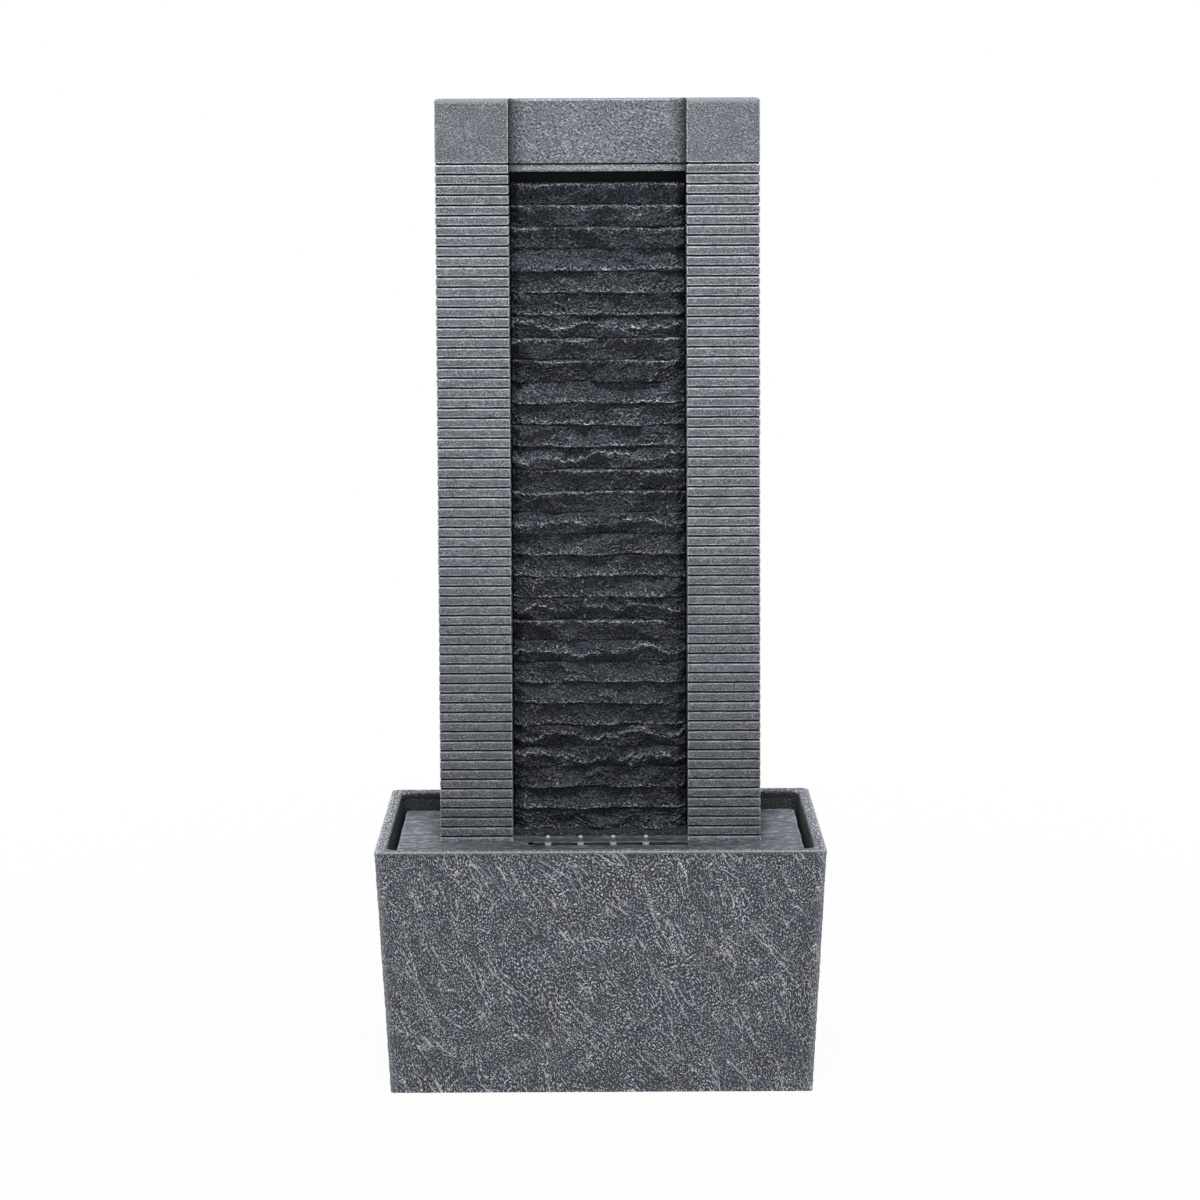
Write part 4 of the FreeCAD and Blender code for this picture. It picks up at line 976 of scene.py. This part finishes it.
deckSizes = {
    "spacing": 0.0026, "corner": 0.008, "edge": 0.0012, "wave": 0.0014, "relief": 0.0007, "slotLeft": -0.084,
    "slotRight": 0.105, "slotFront": 0.0188, "slotBack": 0.0053, "slotSlant": 0.011, "thickness": 0.012,
    "dark": 0.40, "light": 0.99, "nicheShadow": 0.585, "towerShadow": 0.4, "wallShadow": 0.24,
    "nicheReach": 0.215, "towerHalf": 0.194, "wallHalf": 0.104,
    "outerShades": (0.9, 0.45, 0.1), "slotShades": (0.8, 0.06, 0.03),
    "ribs": (-0.092, 0.0939), "ribHalf": 0.2165, "ribWidth": 0.009, "seed": 71,
}


def makeDeck(sizes):
    low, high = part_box("deck")
    top, bottom = high.z, high.z - sizes["thickness"]
    grain = Grain(sizes["seed"])
    slotX = (sizes["slotLeft"], sizes["slotRight"])
    slotY = (towerFront - sizes["slotFront"], towerFront - sizes["slotBack"])

    def lines(stops):
        parts = [np.linspace(a, b, max(2, int(round((b - a) / sizes["spacing"])) + 1))[:-1]
                 for a, b in zip(stops[:-1], stops[1:])]
        return np.concatenate(parts + [[stops[-1]]])

    xs = lines((low.x, *slotX, high.x))
    ys = lines((low.y, *slotY, high.y))
    gridX, gridY = np.meshgrid(xs, ys)
    tiny = 1e-6

    def inSlot(x, y, more):
        return (x > slotX[0] - more) & (x < slotX[1] + more) & (y > slotY[0] - more) & (y < slotY[1] + more)

    slant = np.clip((gridY - slotY[0]) / (slotY[1] - slotY[0]), 0, 1) * sizes["slotSlant"]
    gridX = np.where(inSlot(gridX, gridY, tiny) & (np.abs(gridX - slotX[0]) < tiny), gridX + slant, gridX)

    # Corners are drawn in to their radius, and the edge wanders a little.
    middle = (np.array([low.x, low.y]) + np.array([high.x, high.y])) / 2
    halfX, halfY = (high.x - low.x) / 2 - sizes["corner"], (high.y - low.y) / 2 - sizes["corner"]
    overX, overY = np.abs(gridX - middle[0]) - halfX, np.abs(gridY - middle[1]) - halfY
    reach = np.hypot(np.maximum(overX, 0), np.maximum(overY, 0))
    rounded = (overX > 0) & (overY > 0) & (reach > sizes["corner"])
    pull = np.where(rounded, sizes["corner"] / np.maximum(reach, 1e-9), 1)
    gridX = np.where(pull < 1, middle[0] + np.sign(gridX - middle[0]) * (halfX + overX * pull), gridX)
    gridY = np.where(pull < 1, middle[1] + np.sign(gridY - middle[1]) * (halfY + overY * pull), gridY)
    nearEdge = ease(np.maximum(overX, overY), sizes["corner"] - 0.02, sizes["corner"])
    inward = sizes["wave"] * nearEdge * (1 + 1.2 * grain.layers(gridX / 0.06 + 2, gridY / 0.06, 3))
    gridX = gridX - np.sign(gridX - middle[0]) * inward * (overX > overY)
    gridY = gridY - np.sign(gridY - middle[1]) * inward * (overX <= overY)
    streaks = 0.6 * grain.layers(gridX / 0.045, gridY / 0.009, 4)
    streaks = streaks + 0.4 * grain.ridges(gridX / 0.03, gridY / 0.007, 3)
    streaks = (streaks - streaks.min()) / np.ptp(streaks)

    rows, columns = gridX.shape
    number = np.arange(rows * columns).reshape(rows, columns)
    middleX = (gridX[:-1, :-1] + gridX[1:, 1:]) / 2
    middleY = (gridY[:-1, :-1] + gridY[1:, 1:]) / 2
    solid = ~inSlot(middleX, middleY, 0)
    quads = np.stack([number[:-1, :-1], number[:-1, 1:], number[1:, 1:], number[1:, :-1]], -1)[solid]
    r0, r1 = np.searchsorted(ys, np.array(slotY) - tiny)
    c0, c1 = np.searchsorted(xs, np.array(slotX) - tiny)

    def loopOf(a, b, c, d):  # anticlockwise round rows a to b and columns c to d
        return np.concatenate([number[a, c:d], number[a:b, d], number[b, d:c:-1], number[b:a:-1, c]])

    outer = loopOf(0, rows - 1, 0, columns - 1)
    slot = loopOf(r0, r1, c0, c1)[::-1]
    drop = sizes["relief"] * (1 - streaks)
    edgeShare = np.zeros(rows * columns)
    edgeShare[outer] = 0.3
    edgeShare[number[r1, c0:c1 + 1]] = 0.5
    flatTop = np.column_stack([gridX.ravel(), gridY.ravel(), top - drop.ravel()])
    deck = Skin("deck_stone", edge=0.0, hollow=0.0, shade=1.0)

    # Painted shadow darkens the top before the niche, beside the tower and under the wall's foot.
    x, y = flatTop[:, 0], flatTop[:, 1]
    beforeNiche = np.exp(-(x / sizes["nicheReach"]) ** 6) * ease(-y, 0.0, 0.03)
    besideTower = np.exp(-np.maximum(np.abs(x) - sizes["towerHalf"], 0) / 0.010) * (y > towerFront)
    beneathWall = np.exp(-np.maximum(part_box("ledge_wall")[0].y - y, 0) / 0.007) * (np.abs(x) < sizes["wallHalf"])
    shade = sizes["dark"] + sizes["light"] * streaks.ravel()
    for name, where in (("towerShadow", besideTower), ("nicheShadow", beforeNiche), ("wallShadow", beneathWall)):
        shade = shade * (1 - sizes[name] * where)
    deck.add(flatTop, quads, edge=edgeShare, shade=shade)
    under = deck.add(flatTop * (1, 1, 0) + (0, 0, bottom), quads[:, ::-1] + len(flatTop), shade=0.6)

    # A rounded lip runs down from the top to the underside, round the outside and round the slot, darkened by
    # painted shade, near black in the slot.
    for loop, out, shades in ((outer, sizes["edge"], "outerShades"), (slot, 0.0003, "slotShades")):
        ring = flatTop[loop]
        away = np.column_stack([outwardOf(ring[:, :2]), np.zeros(len(ring))])
        lip = [ring + away * out * 0.6 - (0, 0, out * 0.3), ring + away * out - (0, 0, out)]
        lip.append(level((ring + away * out)[:, :2], bottom))
        lipFaces = ringFaces(len(lip), len(ring), deck.count)[:, ::-1]
        start = deck.add(lip, lipFaces, shade=np.repeat(sizes[shades], len(ring)))
        last = start + 2 * len(ring)
        step = np.arange(len(ring))
        after = np.roll(step, -1)
        joins = [[loop, start + step, start + after, loop[after]],
                 [last + step, loop + under, loop[after] + under, last + after]]
        deck.faces += np.concatenate([np.transpose(corners) for corners in joins]).tolist()
    for y in sizes["ribs"]:
        deck.block(-sizes["ribHalf"], sizes["ribHalf"], y - sizes["ribWidth"] / 2, y + sizes["ribWidth"] / 2,
                   low.z, bottom + 0.001, shade=0.6)
    return deck.finish(stones["deck"])


deck = makeDeck(deckSizes)
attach(deck, "tower")
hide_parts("deck")
print("deck made", len(deck.data.polygons))


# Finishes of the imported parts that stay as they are

def backStone(look):
    stone = Finish("slate_back", Specular_IOR_Level=look["shine"])
    patches = stone.noise(8.0, 4.0)
    grit = stone.noise(300.0)
    dust = stone.noise(22.0, stretch=(1.0, 1.0, 0.35)).between(0.48, 0.70)
    body = stone.blend(patches.between(0.35, 0.65), grey(88, 8), grey(104, 9))
    body = stone.blend(dust * 0.4, body, grey(132, 7)) * (1 + (grit - 0.5) * 1.2)
    colour = stone.blend(grit.between(0.62, 0.74) * 0.4, body, look["pale"])
    return stone.wear(colour, 0.76 + (grit - 0.5) * 0.2, grit, 0.5, 0.0008)


def plastic(name, colour, rough, grainScale=900.0, coat=0.0):
    made = Finish(name, Specular_IOR_Level=0.45, Coat_Weight=coat)
    cloud = made.noise(14.0, roughness=0.55).between(0.3, 0.7)
    grain = made.noise(grainScale, 2.0, roughness=0.55)
    lighter = tuple(min(1.0, part * 1.35 + 0.004) for part in colour)
    return made.wear(made.blend(cloud, colour, lighter), rough + (grain - 0.5) * 0.12, grain, 0.25, 0.00015)


def metal(name, colour, rough, turn=1.2):
    made = Finish(name, Metallic=1.0)
    streak = made.noise(160.0, stretch=(1.0, 14.0, 1.0), turn=turn)
    spot = made.noise(60.0, roughness=0.55).between(0.35, 0.75)
    spotted = made.blend(spot, colour, tuple(part * 0.78 for part in colour))
    return made.wear(spotted, rough + (streak - 0.5) * 0.25, streak, 0.15, 0.0001)


def clearPlastic(name, colour, rough, clear, glintFrom=0.0, glintTo=0.001):
    # clear and darker low down; rougher and bright near the top, a painted highlight above the given heights
    made = Finish(name, Transmission_Weight=clear, IOR=1.49, Coat_Weight=0.5)
    haze = made.noise(500.0, 2.0, roughness=0.55)
    glint = made.add("SeparateXYZ", {}, {"Vector": made.place()}, "Z").between(glintFrom, glintTo)
    body = made.blend(glint, tuple(part * 0.35 for part in colour), colour)
    made.put("Base_Color", body * (1 - haze.between(0.35, 0.65) * 0.14))
    made.put("Roughness", rough + haze.between(0.4, 0.8) * 0.06 + glint * 0.2)
    return made.material


dressed = (
    (backStone(towerLook), "back_panel"),
    (plastic("rubber", grey(34, 2), 0.72, 1400.0),
     "fitting_seal cable_grommet pump_seal shaft_bushes pump_feet pump_gland"),
    (plastic("black_plastic", grey(38, 2), 0.48),
     "header_fitting fitting_nut pump_housing pump_cover strainer_cover"),
    # near-black plastic as painted shade in the water mouth and the lamp slot
    (plastic("shade_dark_plastic", grey(4, 0), 0.8), "header_trough lamp_carrier lamp_holders"),
    (plastic("grey_plastic", grey(104, 3), 0.45), "flow_dial"),
    (plastic("white_plastic", grey(214, 2), 0.35, 1200.0, 0.2), "impeller"),
    (plastic("hose_rubber", grey(44, 3), 0.42, 500.0), "riser_hose"),
    (metal("zinc_steel", grey(196, 4), 0.34), "hose_clamp panel_screws tower_bolts tower_washers carrier_screws"),
    (metal("ferrite", grey(74, 3), 0.55), "rotor_magnet"),
    (plastic("ceramic", grey(224, -3), 0.22, 1500.0, 0.4), "pump_shaft"),
    (clearPlastic("clear_lens", (0.97, 0.98, 1.0), 0.04, 0.5, 0.2815, 0.2838), "lamp_lenses"),
    (clearPlastic("clear_collar", (0.95, 0.96, 0.97), 0.15, 0.2), "lamp_collars"),
)
for material, nodes in dressed:
    for node in nodes.split():
        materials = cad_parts[node].data.materials
        materials.clear()
        materials.append(material)
print("packed parts dressed", sum(len(nodes.split()) for material, nodes in dressed))


# Studio: pale floor, soft light, and the camera

studio = {
    "floorSize": 30.0, "floorDrop": 0.0002, "skyForLight": 0.20, "aim": (0, 0, 0.55),
    # name, place, power and size of each lamp
    "lamps": (("key", (0.0, -1.5, 3.4), 79.0, 0.7), ("fill", (0.4, -3.2, 1.6), 18.0, 2.4),
              ("rear", (-0.6, 3.0, 1.3), 34.0, 2.0), ("side", (-2.8, 0.7, 0.66), 15.0, 1.2),
              ("side", (2.8, 0.7, 0.66), 15.0, 1.2)),
    "lens": 82.56, "sensor": 36.0, "cameraPlace": (0.0007, -3.226, 1.147), "cameraPitch": 10.25,
    "cameraRoll": -0.27,
}


def makeLamp(name, place, power, size):
    light = bpy.data.lights.new(name, "AREA")
    light.energy = power
    light.shape = "SQUARE"
    light.size = size
    lamp = linked(name, light)
    lamp.location = place
    lamp.rotation_euler = (Vector(studio["aim"]) - Vector(place)).to_track_quat("-Z", "Y").to_euler()


def makeFloor():
    half = studio["floorSize"] / 2
    mesh = bpy.data.meshes.new("floor")
    mesh.from_pydata([(-half, -half, 0), (half, -half, 0), (half, half, 0), (-half, half, 0)], [], [(0, 1, 2, 3)])
    floor = linked("floor", mesh)
    floor.location = (0, 0, -studio["floorDrop"])
    look = Finish("floor_paper", Base_Color=(0.45, 0.45, 0.45), Roughness=0.9, Specular_IOR_Level=0.1)
    away = look.add("VectorMath", {"operation": "LENGTH"}, {0: look.place()}, "Value").between(0.35, 1.6)
    glow = look.add("Emission", {}, {"Color": (1, 1, 1), "Strength": 1.0})
    mixed = look.add("MixShader", {}, {0: look.seesWhite() * (away * 0.03 + 0.97), 1: look.surface, 2: glow})
    look.join(look.output.inputs["Surface"], mixed)
    mesh.materials.append(look.material)


def makeSky():
    world = bpy.data.worlds.new("studio")
    world.use_nodes = True
    scene.world = world
    sky = Nodes(world.node_tree)
    soft = sky.add("Background", {}, {"Color": (0.97, 0.985, 1.0), "Strength": studio["skyForLight"]})
    white = sky.add("Background", {}, {"Color": (1, 1, 1), "Strength": 1.0})
    both = sky.add("MixShader", {}, {0: sky.seesWhite(), 1: soft, 2: white})
    sky.add("OutputWorld", {}, {"Surface": both})


def makeCamera():
    lens = bpy.data.cameras.new("camera")
    lens.lens = studio["lens"]
    lens.sensor_width = studio["sensor"]
    camera = linked("camera", lens)
    turn = Matrix.Rotation(math.radians(90 - studio["cameraPitch"]), 4, "X")
    roll = Matrix.Rotation(math.radians(studio["cameraRoll"]), 4, "Z")
    camera.matrix_world = Matrix.Translation(studio["cameraPlace"]) @ turn @ roll
    scene.camera = camera


makeFloor()
makeSky()
for lamp in studio["lamps"]:
    makeLamp(*lamp)
makeCamera()
scene.view_settings.view_transform = "Standard"
print("studio made")
